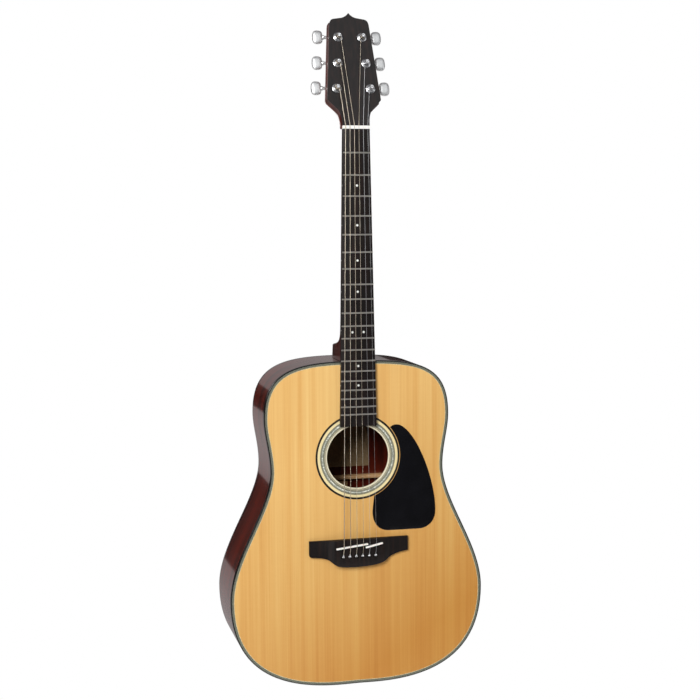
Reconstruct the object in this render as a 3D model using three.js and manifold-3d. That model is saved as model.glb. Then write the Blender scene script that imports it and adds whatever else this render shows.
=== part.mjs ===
// A flat-top steel-string acoustic guitar, in millimetres.
// +Z runs up the neck, -Y is the front and +X is the treble side.
// The origin is the middle of the nut's front edge, in the plane of the fret tops.
import * as THREE from 'three';
import { mergeVertices } from 'three/addons/utils/BufferGeometryUtils.js';
import Module from 'manifold-3d';

const wasm = await Module();
wasm.setup();

// ---- driving dimensions ----
const GAP = 0.3; // clearance between touching pieces
const SCALE_LENGTH = 644;
const FRET_COUNT = 20;

const BOARD = { widthAtNut: 42.2, widening: 0.0347, length: 460, face: 1.0, underside: 6.7 };
const FRET = { width: 2.4, height: 1.0 };
const NUT = { thickness: 5, top: -0.1 };

const BODY = {
  fromNut: 357.5, // nut to the body's top edge
  front: 7.0, // fret tops to the soundboard at that edge
  lean: 0.56, // degrees that the neck leans back
  length: 517,
  depthAtNeck: 98,
  depthAtTail: 127.5,
};
const UPPER_BOUT = { halfWidth: 148.8, down: 88.1 };
const WAIST = { halfWidth: 139.1, down: 170.2 };
const LOWER_BOUT = { halfWidth: 204.5, down: 372.1 };
const PLATE = 3; // soundboard and back thickness
const SIDE_THICKNESS = 2.5;
const BINDING = { width: 1.8, height: 6 };
const LINING = { width: 6.5, height: 13.7 };

const SOUND_HOLE = { down: 151.5, radius: 49.7 };
const ROSETTE = { inner: 52, outer: 68, thickness: 1 };
const PICKGUARD = { thickness: 0.8, clearOfRosette: 0.8 };

const BRIDGE = { top: 281.8, height: 9, wingHeight: 4.6, rampFrom: 41.4, rampTo: 50 };
const SADDLE = { thickness: 2.6, top: 12.45, foot: 4 };
const POCKET = { down: 309, radius: 2.6, floor: 4.5, slotLength: 7.4, slotHalfWidth: 1.2 };

const STRING_RADII = [0.67, 0.53, 0.41, 0.31, 0.21, 0.16]; // from the bass side
const STRINGS_AT_NUT = 35.2;
const STRINGS_AT_SADDLE = 52.4;
const ACTION = { atNut: 0.4, atSaddle: 2.9 }; // string undersides above the fret plane

const HEAD = { tilt: 14.6, drop: 0.72, thickness: 15, capThickness: 1.6, start: 5.6 };
const POSTS = [ // along the head from the nut, and out from its middle
  { along: 64.4, out: 26.7 },
  { along: 105.3, out: 22.5 },
  { along: 147.4, out: 19.1 },
];
const POST = { radius: 3, waist: 2.7, top: 11, gearRadius: 4.6 };
const BUSHING = { bore: 3.3, sleeve: 5, washer: 7.3, nut: 5.9, top: 3.8 };
const WORM = { offset: 7, depth: 20.3, radius: 2.1, shaft: 2.5 };
const KNOB = { centre: 27.9, length: 16, height: 21.6, thickness: 8 };
const HOUSING = { back: 26, halfWidth: 9.2, above: 11.5, below: 8.5 };

const BRACE = { width: 8, height: 15 };
const X_BRACE = { crossing: 230, angle: 49 };
const NECK_BLOCK = { halfWidth: 32, bottom: 50 };
const TAIL_BLOCK = { halfWidth: 35, top: 495 };
const TENON = { halfWidth: 9.7, length: 18.8, depth: 69.7 };
const TRUSS_ROD = { size: 5, depth: 15.9, start: 12, end: 410 };
const END_PIN = { depth: 60, flange: 7, waist: 4, head: 6.5, length: 14, peg: 3.5 };

// ---- finishes: colour, roughness, metalness ----
const FINISH = {
  spruce: [0xe4b672, 0.35, 0],
  mahogany: [0x4e1d10, 0.3, 0],
  bracewood: [0xcfa873, 0.8, 0],
  rosewood: [0x241a17, 0.5, 0],
  blackPlastic: [0x101012, 0.2, 0],
  whitePlastic: [0xf1eee6, 0.35, 0],
  inlay: [0xb9ae8c, 0.4, 0],
  chrome: [0xc9cbce, 0.15, 1],
  steel: [0xa7a9ac, 0.4, 1],
  bronze: [0xb39a78, 0.35, 1],
};

const radians = THREE.MathUtils.degToRad;
const guitar = new THREE.Group();

// The body, the head and the back each lie in a leaning frame of their own.
const body = new THREE.Group();
body.position.set(0, BODY.front, -BODY.fromNut);
body.rotation.x = radians(BODY.lean);
const head = new THREE.Group();
head.position.set(0, HEAD.drop, 0);
head.rotation.x = -radians(HEAD.tilt);
guitar.add(body, head);
guitar.updateMatrixWorld(true);
const backSlope = Math.atan((BODY.depthAtTail - BODY.depthAtNeck) / BODY.length);

function addPart(group, name, finish, shape) {
  const [color, roughness, metalness] = FINISH[finish];
  const geometry = shape.isBufferGeometry ? shape : fromSolid(shape);
  const mesh = new THREE.Mesh(geometry, new THREE.MeshStandardMaterial({ color, roughness, metalness }));
  mesh.name = name;
  group.add(mesh);
}

// ---- solids for cutting and joining ----
function toSolid(geometry) {
  const bare = geometry.clone();
  bare.deleteAttribute('normal');
  bare.deleteAttribute('uv');
  const merged = mergeVertices(bare, 1e-4);
  const vertProperties = new Float32Array(merged.attributes.position.array);
  const triVerts = new Uint32Array(merged.index.array);
  return new wasm.Manifold(new wasm.Mesh({ numProp: 3, vertProperties, triVerts }));
}

function fromSolid(solid) {
  const mesh = solid.getMesh();
  const geometry = new THREE.BufferGeometry();
  geometry.setAttribute('position', new THREE.BufferAttribute(mesh.vertProperties, 3));
  geometry.setIndex(new THREE.BufferAttribute(mesh.triVerts, 1));
  geometry.computeVertexNormals();
  return geometry;
}

// ---- shapes: x across, y back, z up, in the frame of the piece's group ----
function block(x, y, z) {
  const geometry = new THREE.BoxGeometry(x[1] - x[0], y[1] - y[0], z[1] - z[0]);
  return geometry.translate((x[0] + x[1]) / 2, (y[0] + y[1]) / 2, (z[0] + z[1]) / 2);
}

function plate(points, front, back, holes = []) {
  const anticlockwise = THREE.ShapeUtils.isClockWise(points) ? [...points].reverse() : points;
  const shape = new THREE.Shape(anticlockwise);
  shape.holes = holes.map((hole) => new THREE.Path(hole));
  const geometry = new THREE.ExtrudeGeometry(shape, { depth: back - front, bevelEnabled: false });
  return geometry.rotateX(Math.PI / 2).translate(0, back, 0);
}

function circle(x, z, radius, count) {
  const points = [];
  for (let i = 0; i < count; i += 1) {
    const angle = (2 * Math.PI * i) / count;
    points.push(new THREE.Vector2(x + radius * Math.cos(angle), z + radius * Math.sin(angle)));
  }
  return points;
}

function rodAlongX(radius, from, to, y, z, sides = 10) {
  const geometry = new THREE.CylinderGeometry(radius, radius, to - from, sides);
  return geometry.rotateZ(Math.PI / 2).translate((from + to) / 2, y, z);
}

function rodAlongY(radius, from, to, x, z, sides = 10) {
  return new THREE.CylinderGeometry(radius, radius, to - from, sides).translate(x, (from + to) / 2, z);
}

function turned(profile, sides) {
  const points = profile.map(([radius, along]) => new THREE.Vector2(radius, along));
  return new THREE.LatheGeometry(points, sides);
}

function mirrored(half) {
  const left = half.map((point) => new THREE.Vector2(-point.x, point.y)).reverse();
  return [...half, ...left].filter((point, i, all) => i === 0 || point.distanceTo(all[i - 1]) > 1e-6);
}

// ---- the body's outline ----
const OUTLINE_CURVES = [
  { ends: [[0, 0], [UPPER_BOUT.halfWidth, -UPPER_BOUT.down]], lean: [94.3, 81.1], steps: 12 },
  { ends: [[UPPER_BOUT.halfWidth, -UPPER_BOUT.down], [WAIST.halfWidth, -WAIST.down]],
    lean: [25.7, 30.9], steps: 5 },
  { ends: [[WAIST.halfWidth, -WAIST.down], [LOWER_BOUT.halfWidth, -LOWER_BOUT.down]],
    lean: [59.1, 68.3], steps: 9 },
  { ends: [[LOWER_BOUT.halfWidth, -LOWER_BOUT.down], [0, -BODY.length]], lean: [158.7, 42.5], steps: 15 },
];

function outlineCurve({ ends, lean }, index) {
  const [start, end] = ends.map(([x, z]) => new THREE.Vector2(x, z));
  const leave = index === 0 ? new THREE.Vector2(lean[0], 0) : new THREE.Vector2(0, -lean[0]);
  const arrive = index === 3 ? new THREE.Vector2(lean[1], 0) : new THREE.Vector2(0, lean[1]);
  return new THREE.CubicBezierCurve(start, start.clone().add(leave), end.clone().add(arrive), end);
}

function bodyOutline(inset) {
  const half = [];
  OUTLINE_CURVES.forEach((part, index) => {
    const curve = outlineCurve(part, index);
    for (let i = index === 0 ? 0 : 1; i <= part.steps; i += 1) {
      const tangent = curve.getTangent(i / part.steps);
      const inward = new THREE.Vector2(tangent.y, -tangent.x).multiplyScalar(inset);
      half.push(curve.getPoint(i / part.steps).add(inward));
    }
  });
  half[0].x = 0;
  half[half.length - 1].x = 0;
  const outline = mirrored(half);
  return outline.slice(0, -1);
}

function bodyRing(outerInset, innerInset, front, back) {
  return plate(bodyOutline(outerInset), front, back, [bodyOutline(innerInset)]);
}

// A slab between two depths measured from the back's outer face, which slopes.
function backSlab(from, to) {
  const slab = block([-300, 300], [from, to], [-700, 100]);
  return toSolid(slab.rotateX(backSlope).translate(0, BODY.depthAtNeck, 0));
}

const CIRCLE_SIDES = 40;
const DEEP = 160; // deeper than the body, for pieces that a slab then trims
const HALF_SPACE = { treble: [GAP / 2, 300], bass: [-300, -GAP / 2] };

function buildShell() {
  const hole = circle(0, -SOUND_HOLE.down, SOUND_HOLE.radius, CIRCLE_SIDES);
  const groove = plate(
    circle(0, -SOUND_HOLE.down, ROSETTE.outer + GAP, CIRCLE_SIDES), -1, ROSETTE.thickness + GAP,
    [circle(0, -SOUND_HOLE.down, ROSETTE.inner - GAP, CIRCLE_SIDES)]);
  const board = toSolid(plate(bodyOutline(BINDING.width + GAP), 0, PLATE, [hole]));
  addPart(body, 'soundboard', 'spruce', board.subtract(toSolid(groove)));
  addPart(body, 'rosette', 'inlay', plate(
    circle(0, -SOUND_HOLE.down, ROSETTE.outer, CIRCLE_SIDES), 0, ROSETTE.thickness,
    [circle(0, -SOUND_HOLE.down, ROSETTE.inner, CIRCLE_SIDES)]));

  const back = toSolid(plate(bodyOutline(BINDING.width + GAP), 80, DEEP));
  addPart(body, 'back', 'mahogany', back.intersect(backSlab(-PLATE, 0)));

  addPart(body, 'top_binding', 'blackPlastic', bodyRing(0, BINDING.width, 0, BINDING.height));
  const backBinding = toSolid(bodyRing(0, BINDING.width, 80, DEEP));
  addPart(body, 'back_binding', 'blackPlastic', backBinding.intersect(backSlab(-BINDING.height, 0)));

  const pinHole = new THREE.CylinderGeometry(END_PIN.peg + GAP, END_PIN.peg + GAP, 80, 14)
    .rotateX(Math.PI / 2).translate(0, END_PIN.depth, -BODY.length);
  const throat = block([-12, 12], [0, DEEP], [-20, 20]);
  const sides = toSolid(bodyRing(0, SIDE_THICKNESS, BINDING.height + GAP, DEEP))
    .subtract(backSlab(-BINDING.height - GAP, 100))
    .subtract(toSolid(pinHole))
    .subtract(toSolid(throat));
  const topLining = toSolid(bodyRing(
    SIDE_THICKNESS + GAP, SIDE_THICKNESS + GAP + LINING.width, PLATE + GAP, PLATE + GAP + LINING.height));
  const backLining = toSolid(bodyRing(
    SIDE_THICKNESS + GAP, SIDE_THICKNESS + GAP + LINING.width, 70, DEEP))
    .intersect(backSlab(-PLATE - GAP - LINING.height, -PLATE - GAP));
  const atNeckBlock = toSolid(block(
    [-NECK_BLOCK.halfWidth - GAP, NECK_BLOCK.halfWidth + GAP], [0, DEEP], [-60, 20]));
  const atTailBlock = toSolid(block(
    [-TAIL_BLOCK.halfWidth - GAP, TAIL_BLOCK.halfWidth + GAP], [0, DEEP], [-540, -480]));
  for (const [side, reach] of Object.entries(HALF_SPACE)) {
    const half = toSolid(block(reach, [-10, 200], [-600, 100]));
    addPart(body, `side_${side}`, 'mahogany', sides.intersect(half));
    for (const [place, lining] of [['top', topLining], ['back', backLining]]) {
      const cut = lining.subtract(atNeckBlock).subtract(atTailBlock).intersect(half);
      addPart(body, `${place}_lining_${side}`, 'bracewood', cut);
    }
  }
}

// ---- blocks and braces inside the body ----
function innerSpace() {
  return toSolid(plate(bodyOutline(SIDE_THICKNESS + LINING.width + 4 * GAP), 0, DEEP));
}

function bar(width, length, front, back, x, z, angle) {
  const across = block([-length / 2, length / 2], [front, back], [-width / 2, width / 2]);
  return toSolid(across.rotateY(radians(angle)).translate(x, 0, z));
}

function buildInside() {
  const underBoard = PLATE + GAP;
  const braceFoot = underBoard + BRACE.height;
  const blockTop = -(SIDE_THICKNESS + 3 * GAP);
  const mortise = block([-TENON.halfWidth - GAP, TENON.halfWidth + GAP], [0, TENON.depth + GAP],
    [-TENON.length - GAP, 20]);
  const rodSlot = block([-3.2, 3.2], [0, 12.5], [-80, 20]);
  const behindBack = backSlab(-PLATE - GAP, 100);
  const neckBlock = toSolid(block([-NECK_BLOCK.halfWidth, NECK_BLOCK.halfWidth], [underBoard, DEEP],
    [-NECK_BLOCK.bottom, blockTop]));
  addPart(body, 'neck_block', 'mahogany',
    neckBlock.subtract(toSolid(mortise)).subtract(toSolid(rodSlot)).subtract(behindBack));

  const pinBore = new THREE.CylinderGeometry(END_PIN.peg + GAP, END_PIN.peg + GAP, 80, 14)
    .rotateX(Math.PI / 2).translate(0, END_PIN.depth, -BODY.length);
  const tailBlock = toSolid(block([-TAIL_BLOCK.halfWidth, TAIL_BLOCK.halfWidth], [underBoard, DEEP],
    [-BODY.length + SIDE_THICKNESS + 6 * GAP, -TAIL_BLOCK.top]));
  addPart(body, 'tail_block', 'mahogany', tailBlock.subtract(toSolid(pinBore)).subtract(behindBack));

  const inside = innerSpace();
  const arm = (angle) => bar(BRACE.width, 600, underBoard, braceFoot, 0, -X_BRACE.crossing, angle);
  const crossed = arm(90 - X_BRACE.angle).add(arm(X_BRACE.angle - 90)).intersect(inside);
  addPart(body, 'x_brace', 'bracewood', crossed);
  addPart(body, 'transverse_brace', 'bracewood',
    bar(10, 400, underBoard, braceFoot, 0, -88, 0).intersect(inside));
  addPart(body, 'tone_bar_upper', 'bracewood', bar(7, 190, underBoard, underBoard + 11, 7, -382, -23));
  addPart(body, 'tone_bar_lower', 'bracewood', bar(7, 170, underBoard, underBoard + 10, 32, -435, -24));

  const plateOutline = [[-53, -283], [53, -283], [92, -318], [-92, -318]];
  addPart(body, 'bridge_plate', 'rosewood',
    plate(plateOutline.map(([x, z]) => new THREE.Vector2(x, z)), underBoard, underBoard + 3));

  const backBraces = [70, 203, 320, 430].map((down) => bar(BRACE.width, 450, 60, DEEP, 0, -down, 0));
  const strip = toSolid(block([-9, 9], [60, DEEP], [-TAIL_BLOCK.top + 2, -NECK_BLOCK.bottom - 2]));
  const thinStrip = strip.intersect(backSlab(-PLATE - GAP - 2.5, -PLATE - GAP));
  const tall = backBraces.reduce((all, one) => all.add(one))
    .intersect(backSlab(-PLATE - GAP - BRACE.height, -PLATE - GAP));
  addPart(body, 'back_bracing', 'bracewood', tall.add(thinStrip).intersect(inside));

  const rod = block([-TRUSS_ROD.size / 2, TRUSS_ROD.size / 2],
    [TRUSS_ROD.depth - TRUSS_ROD.size / 2, TRUSS_ROD.depth + TRUSS_ROD.size / 2],
    [-TRUSS_ROD.end, -TRUSS_ROD.start]);
  const rodNut = new THREE.CylinderGeometry(4, 4, 10, 6)
    .rotateX(Math.PI / 2).translate(0, TRUSS_ROD.depth, -TRUSS_ROD.end - 4);
  addPart(guitar, 'truss_rod', 'steel', toSolid(rod).add(toSolid(rodNut)));

  const pin = turned([
    [0, -22], [END_PIN.peg, -22], [END_PIN.peg, 0.4], [END_PIN.flange, 0.4], [END_PIN.flange, 2.5],
    [END_PIN.waist, 4], [END_PIN.waist, END_PIN.length - 5], [END_PIN.head, END_PIN.length - 2],
    [END_PIN.head, END_PIN.length], [0, END_PIN.length]], 18);
  pin.rotateX(-Math.PI / 2).translate(0, END_PIN.depth, -BODY.length);
  addPart(body, 'end_pin', 'blackPlastic', pin);
}

// ---- neck, head, fingerboard and nut ----
function boardHalfWidth(fromNut) {
  return (BOARD.widthAtNut + BOARD.widening * fromNut) / 2;
}

function fretDistance(number) {
  return SCALE_LENGTH * (1 - 2 ** (-number / 12));
}

function headOutline() {
  const half = new THREE.Path();
  half.moveTo(0, HEAD.start);
  half.lineTo(20.9, HEAD.start);
  half.bezierCurveTo(21.4, 24, 24.5, 29.5, 31, 35.6);
  half.lineTo(41, 45.2);
  half.quadraticCurveTo(42.2, 46.6, 41.9, 48.4);
  half.lineTo(31.2, 167);
  half.quadraticCurveTo(30.3, 175.4, 24.5, 176.6);
  half.lineTo(12, 178.6);
  half.quadraticCurveTo(4.6, 180.3, 0, 187.4);
  const points = half.getPoints(4);
  return mirrored(points).slice(0, -1);
}

// Each station: height, depth of wood behind the fingerboard, squareness of the curve.
const NECK_STATIONS = [
  [-358.5, 108, 2.6], [-338, 104, 2.6], [-334, 72, 2.6], [-330, 52, 2.5], [-325, 37, 2.4],
  [-319, 27, 2.3], [-310, 20.5, 2.3], [-298, 17.5, 2.3], [-200, 16.3, 2.3], [-40, 14.8, 2.3],
  [0, 14.3, 2.3], [14, 11.6, 2.3],
];

function neckShaft() {
  const section = [];
  for (let i = 0; i <= 14; i += 1) {
    section.push(new THREE.Vector2(Math.cos((Math.PI * i) / 14), Math.sin((Math.PI * i) / 14)));
  }
  const rings = NECK_STATIONS.length - 1;
  const geometry = new THREE.ExtrudeGeometry(
    new THREE.Shape(section), { depth: rings, steps: rings, bevelEnabled: false });
  const position = geometry.attributes.position;
  for (let i = 0; i < position.count; i += 1) {
    const [z, depth, squareness] = NECK_STATIONS[Math.round(position.getZ(i))];
    const x = position.getX(i);
    const y = Math.max(position.getY(i), 0);
    const halfWidth = boardHalfWidth(-z);
    position.setXYZ(i, Math.sign(x) * halfWidth * Math.abs(x) ** (2 / squareness),
      BODY.front + depth * y ** (2 / squareness), z);
  }
  return toSolid(geometry);
}

function buildNeck() {
  const inBody = (geometry) => toSolid(geometry.applyMatrix4(body.matrixWorld));
  const cap = backSlab(-PLATE, 0);
  const capSpace = fromSolid(backSlab(-PLATE - GAP, 100));
  const shaft = neckShaft().subtract(inBody(block([-60, 60], [-20, 200], [-300, GAP])));
  addPart(guitar, 'heel_cap', 'blackPlastic', shaft.intersect(inBody(fromSolid(cap))));

  const holes = POSTS.flatMap(({ along, out }) => [-out, out].map(
    (x) => toSolid(rodAlongY(BUSHING.sleeve + GAP, -5, 30, x, along))));
  const drill = (solid) => holes.reduce((left, hole) => left.subtract(hole), solid);
  const capBack = HEAD.capThickness;
  const slab = drill(toSolid(plate(headOutline(), capBack + GAP, HEAD.thickness)));
  const slabInPlace = toSolid(fromSolid(slab).applyMatrix4(head.matrixWorld));
  const tenon = block([-TENON.halfWidth, TENON.halfWidth], [6.6, TENON.depth], [-TENON.length, 2]);
  const rodChannel = block([-2.8, 2.8],
    [TRUSS_ROD.depth - 2.8, TRUSS_ROD.depth + 2.8], [-TRUSS_ROD.end, -TRUSS_ROD.start + GAP]);
  const nutSeat = block([-60, 60], [-10, BODY.front], [-20, NUT.thickness + GAP]);
  const neck = shaft.subtract(inBody(capSpace)).add(inBody(tenon)).add(slabInPlace)
    .subtract(toSolid(rodChannel)).subtract(toSolid(nutSeat));
  addPart(guitar, 'neck', 'mahogany', neck);
  addPart(head, 'head_cap', 'rosewood', drill(toSolid(plate(headOutline(), 0, capBack))));

  addPart(guitar, 'nut', 'whitePlastic', block(
    [-BOARD.widthAtNut / 2, BOARD.widthAtNut / 2], [NUT.top, BODY.front - GAP], [GAP, NUT.thickness]));
}

function buildFingerboard() {
  const corners = [[1, 0], [1, BOARD.length], [-1, BOARD.length], [-1, 0]].map(
    ([side, down]) => new THREE.Vector2(side * boardHalfWidth(down), -down));
  let board = toSolid(plate(corners, BOARD.face, BOARD.underside));
  for (let number = 1; number <= FRET_COUNT; number += 1) {
    const down = fretDistance(number);
    const half = FRET.width / 2;
    const crown = [[-half, 0.4], [-half / 2, 0], [half / 2, 0], [half, 0.4], [half, 1.4], [-half, 1.4]];
    const shape = new THREE.Shape(crown.map(([along, y]) => new THREE.Vector2(along, y)));
    const length = 2 * boardHalfWidth(down);
    const fret = new THREE.ExtrudeGeometry(shape, { depth: length, bevelEnabled: false });
    fret.translate(0, 0, -length / 2).rotateY(Math.PI / 2).translate(0, 0, -down);
    board = board.add(toSolid(fret));
  }
  addPart(guitar, 'fingerboard', 'rosewood', board);
}

// ---- bridge, saddles and pickguard ----
const SADDLES = { // each line: across, then down the body, at its bass and treble ends
  saddle_long: [[-38, 295.2], [13.2, 289.5]],
  saddle_short: [[9.5, 295.2], [37.2, 289.3]],
};

function saddleBar([[x0, down0], [x1, down1]], extra, front, back) {
  const length = Math.hypot(x1 - x0, down1 - down0) + 2 * extra;
  const angle = Math.atan2(down1 - down0, x1 - x0);
  const half = SADDLE.thickness / 2 + extra;
  const barShape = block([-length / 2, length / 2], [front, back], [-half, half]);
  return barShape.rotateY(angle).translate((x0 + x1) / 2, 0, -(down0 + down1) / 2);
}

function stringAcross(index, spread) {
  return -spread / 2 + (spread * index) / (STRING_RADII.length - 1);
}

function bridgeOutline() {
  const edge = new THREE.Path();
  edge.moveTo(-80, -BRIDGE.top);
  edge.lineTo(80, -BRIDGE.top);
  edge.lineTo(80, -304.4);
  edge.bezierCurveTo(70, -306, 61, -307, 52, -312);
  edge.bezierCurveTo(44, -317, 41, -320.5, 31, -322.8);
  edge.bezierCurveTo(16, -326.6, -16, -327, -31, -324.4);
  edge.bezierCurveTo(-41, -322.6, -44, -314.5, -53, -311.4);
  edge.bezierCurveTo(-61, -308.6, -68, -308.2, -76.5, -307.4);
  edge.quadraticCurveTo(-79.8, -307, -80, -303.6);
  return edge.getPoints(6);
}

function buildBridge() {
  let bridge = toSolid(plate(bridgeOutline(), -BRIDGE.height, -GAP));
  for (const side of [-1, 1]) {
    const ramp = [[BRIDGE.rampFrom, -20], [BRIDGE.rampFrom, -BRIDGE.height],
      [BRIDGE.rampTo, -BRIDGE.wingHeight], [95, -BRIDGE.wingHeight], [95, -20]];
    const shape = new THREE.Shape(ramp.map(([x, y]) => new THREE.Vector2(side * x, y)));
    const cutter = new THREE.ExtrudeGeometry(shape, { depth: 80, bevelEnabled: false });
    bridge = bridge.subtract(toSolid(cutter.translate(0, 0, -340)));
  }
  for (const [name, line] of Object.entries(SADDLES)) {
    addPart(body, name, 'whitePlastic', saddleBar(line, 0, -SADDLE.top, -SADDLE.foot));
    bridge = bridge.subtract(toSolid(saddleBar(line, GAP, -30, -SADDLE.foot + GAP)));
  }
  STRING_RADII.forEach((radius, index) => {
    const x = stringAcross(index, STRINGS_AT_SADDLE);
    const pocket = rodAlongY(POCKET.radius, -30, -POCKET.floor, x, -POCKET.down);
    const slot = block([x - POCKET.slotHalfWidth, x + POCKET.slotHalfWidth],
      [-30, -POCKET.floor - 1], [-POCKET.down, -POCKET.down + POCKET.slotLength]);
    bridge = bridge.subtract(toSolid(pocket)).subtract(toSolid(slot));
  });
  addPart(body, 'bridge', 'rosewood', bridge);
}

function buildPickguard() {
  const ring = ROSETTE.outer + PICKGUARD.clearOfRosette;
  const low = new THREE.Vector2(26.2, -Math.sqrt(ring ** 2 - 26.2 ** 2));
  const high = new THREE.Vector2(52.5, Math.sqrt(ring ** 2 - 52.5 ** 2));
  const edge = new THREE.Path();
  edge.moveTo(high.x, high.y - SOUND_HOLE.down);
  edge.bezierCurveTo(56, -103.2, 62, -101.6, 69, -104);
  edge.bezierCurveTo(98, -118, 127, -196, 127, -243);
  edge.bezierCurveTo(127, -262, 114, -272, 99.4, -272);
  edge.lineTo(50, -271.8);
  edge.bezierCurveTo(32, -271.4, 23.4, -258, 23.4, -240);
  edge.lineTo(low.x, low.y - SOUND_HOLE.down);
  edge.absarc(0, -SOUND_HOLE.down, ring, low.angle() - 2 * Math.PI, high.angle(), false);
  const points = edge.getPoints(9).slice(0, -1);
  const distinct = points.filter((point, i) => i === 0 || point.distanceTo(points[i - 1]) > 0.01);
  addPart(body, 'pickguard', 'blackPlastic', plate(distinct, -GAP - PICKGUARD.thickness, -GAP));
}

// ---- tuning machines ----
function roundedRectangle(x0, x1, z0, z1, radius) {
  const edge = new THREE.Path();
  edge.moveTo(x0 + radius, z0);
  edge.lineTo(x1 - radius, z0);
  edge.absarc(x1 - radius, z0 + radius, radius, -Math.PI / 2, 0, false);
  edge.absarc(x1 - radius, z1 - radius, radius, 0, Math.PI / 2, false);
  edge.absarc(x0 + radius, z1 - radius, radius, Math.PI / 2, Math.PI, false);
  edge.absarc(x0 + radius, z0 + radius, radius, Math.PI, 1.5 * Math.PI, false);
  const points = edge.getPoints(3);
  return points.filter((point, i) => i === 0 || point.distanceTo(points[i - 1]) > 0.01);
}

function knobSolid(outward) {
  const edge = new THREE.Path();
  const halfLength = KNOB.length / 2;
  const halfHeight = KNOB.height / 2;
  const bevel = 2.4;
  edge.moveTo(-halfLength + bevel, 0);
  edge.bezierCurveTo(-halfLength + bevel, -halfHeight, -2, -halfHeight + bevel, 1.5, -halfHeight + bevel);
  edge.bezierCurveTo(4, -halfHeight + bevel, halfLength - bevel, -6, halfLength - bevel, 0);
  edge.bezierCurveTo(halfLength - bevel, 6, 4, halfHeight - bevel, 1.5, halfHeight - bevel);
  edge.bezierCurveTo(-2, halfHeight - bevel, -halfLength + bevel, halfHeight, -halfLength + bevel, 0);
  const points = edge.getPoints(3).slice(0, -1).map((point) => new THREE.Vector2(outward * point.x, point.y));
  const distinct = points.filter((point, i) => i === 0 || point.distanceTo(points[i - 1]) > 0.01);
  const depth = KNOB.thickness - 2 * bevel;
  const geometry = new THREE.ExtrudeGeometry(new THREE.Shape(distinct), {
    depth, bevelEnabled: true, bevelThickness: bevel, bevelSize: bevel, bevelSegments: 1 });
  return toSolid(geometry.translate(0, 0, -depth / 2).rotateX(Math.PI / 2));
}

function buildTuner(number, { along, out }, outward) {
  const x = outward * out;
  const place = (solid) => fromSolid(solid).translate(x, 0, along);
  const span = (from, to) => [outward * from, outward * to].sort((a, b) => a - b);
  const shaftRod = (radius, from, to) => {
    const [low, high] = span(from, to);
    return toSolid(rodAlongX(radius, low, high, WORM.depth, WORM.offset));
  };

  const caseOutline = roundedRectangle(
    -HOUSING.halfWidth, HOUSING.halfWidth, -HOUSING.below, HOUSING.above, 3);
  const housing = toSolid(plate(caseOutline, HEAD.thickness + GAP, HOUSING.back))
    .subtract(toSolid(rodAlongY(POST.gearRadius + 0.4, WORM.depth - 2.4, WORM.depth + 2.4, 0, 0)))
    .subtract(toSolid(rodAlongY(POST.radius + 0.4, 10, WORM.depth, 0, 0)))
    .subtract(toSolid(rodAlongY(POST.radius, WORM.depth, HOUSING.back - 1.1, 0, 0)))
    .subtract(shaftRod(WORM.shaft + GAP, -7, 30));
  addPart(head, `tuner_housing_${number}`, 'chrome', place(housing));

  const knob = knobSolid(outward);
  const knobInPlace = toSolid(
    fromSolid(knob).translate(outward * KNOB.centre, WORM.depth, WORM.offset));
  const button = knobInPlace.add(shaftRod(WORM.radius, -6.6, 10)).add(shaftRod(WORM.shaft, 8, 24));
  addPart(head, `tuner_button_${number}`, 'chrome', place(button));

  const gear = WORM.depth;
  const postProfile = [
    [0, -gear - 4.2], [POST.waist - 0.2, -gear - 4.2], [POST.waist - 0.2, -gear - 2],
    [POST.gearRadius, -gear - 2], [POST.gearRadius, -gear + 2], [POST.radius, -gear + 2],
    [POST.radius, 4.4], [POST.waist, 4.8], [POST.waist, 9.2], [POST.radius, 9.6],
    [POST.radius, POST.top], [2.1, POST.top + 0.5], [0, POST.top - 0.3]];
  const post = toSolid(turned(postProfile, 10).rotateX(Math.PI));
  const stringHole = toSolid(rodAlongX(0.9, -6, 6, -7, 0, 8));
  addPart(head, `tuner_post_${number}`, 'chrome', place(post.subtract(stringHole)));

  const bushingProfile = [
    [BUSHING.bore, -9], [BUSHING.sleeve, -9], [BUSHING.sleeve, GAP], [BUSHING.washer, GAP],
    [BUSHING.washer, 1.3], [BUSHING.nut, 1.6], [BUSHING.nut, BUSHING.top], [BUSHING.bore, BUSHING.top],
    [BUSHING.bore, -9]];
  addPart(head, `tuner_bushing_${number}`, 'chrome',
    turned(bushingProfile, 12).rotateX(Math.PI).translate(x, 0, along));
}

function tunerOf(index) { // string 6 to 4 on the bass side, then 3 to 1 on the treble side
  const row = index < 3 ? index : 5 - index;
  return { post: POSTS[row], outward: index < 3 ? -1 : 1 };
}

// ---- strings ----
class Polyline extends THREE.Curve {
  constructor(points) {
    super();
    this.points = points;
  }

  getPoint(t, target = new THREE.Vector3()) {
    const place = t * (this.points.length - 1);
    const i = Math.min(Math.floor(place + 1e-9), this.points.length - 2);
    return target.lerpVectors(this.points[i], this.points[i + 1], place - i);
  }

  getPointAt(u, target) {
    return this.getPoint(u, target);
  }

  getTangentAt(u, target = new THREE.Vector3()) {
    const k = Math.round(u * (this.points.length - 1));
    const before = this.points[Math.max(k - 1, 0)];
    const after = this.points[Math.min(k + 1, this.points.length - 1)];
    return target.subVectors(after, before).normalize();
  }
}

function saddleDown(x) {
  const [start, end] = x < 11 ? SADDLES.saddle_long : SADDLES.saddle_short;
  return start[1] + ((end[1] - start[1]) * (x - start[0])) / (end[0] - start[0]);
}

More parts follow.
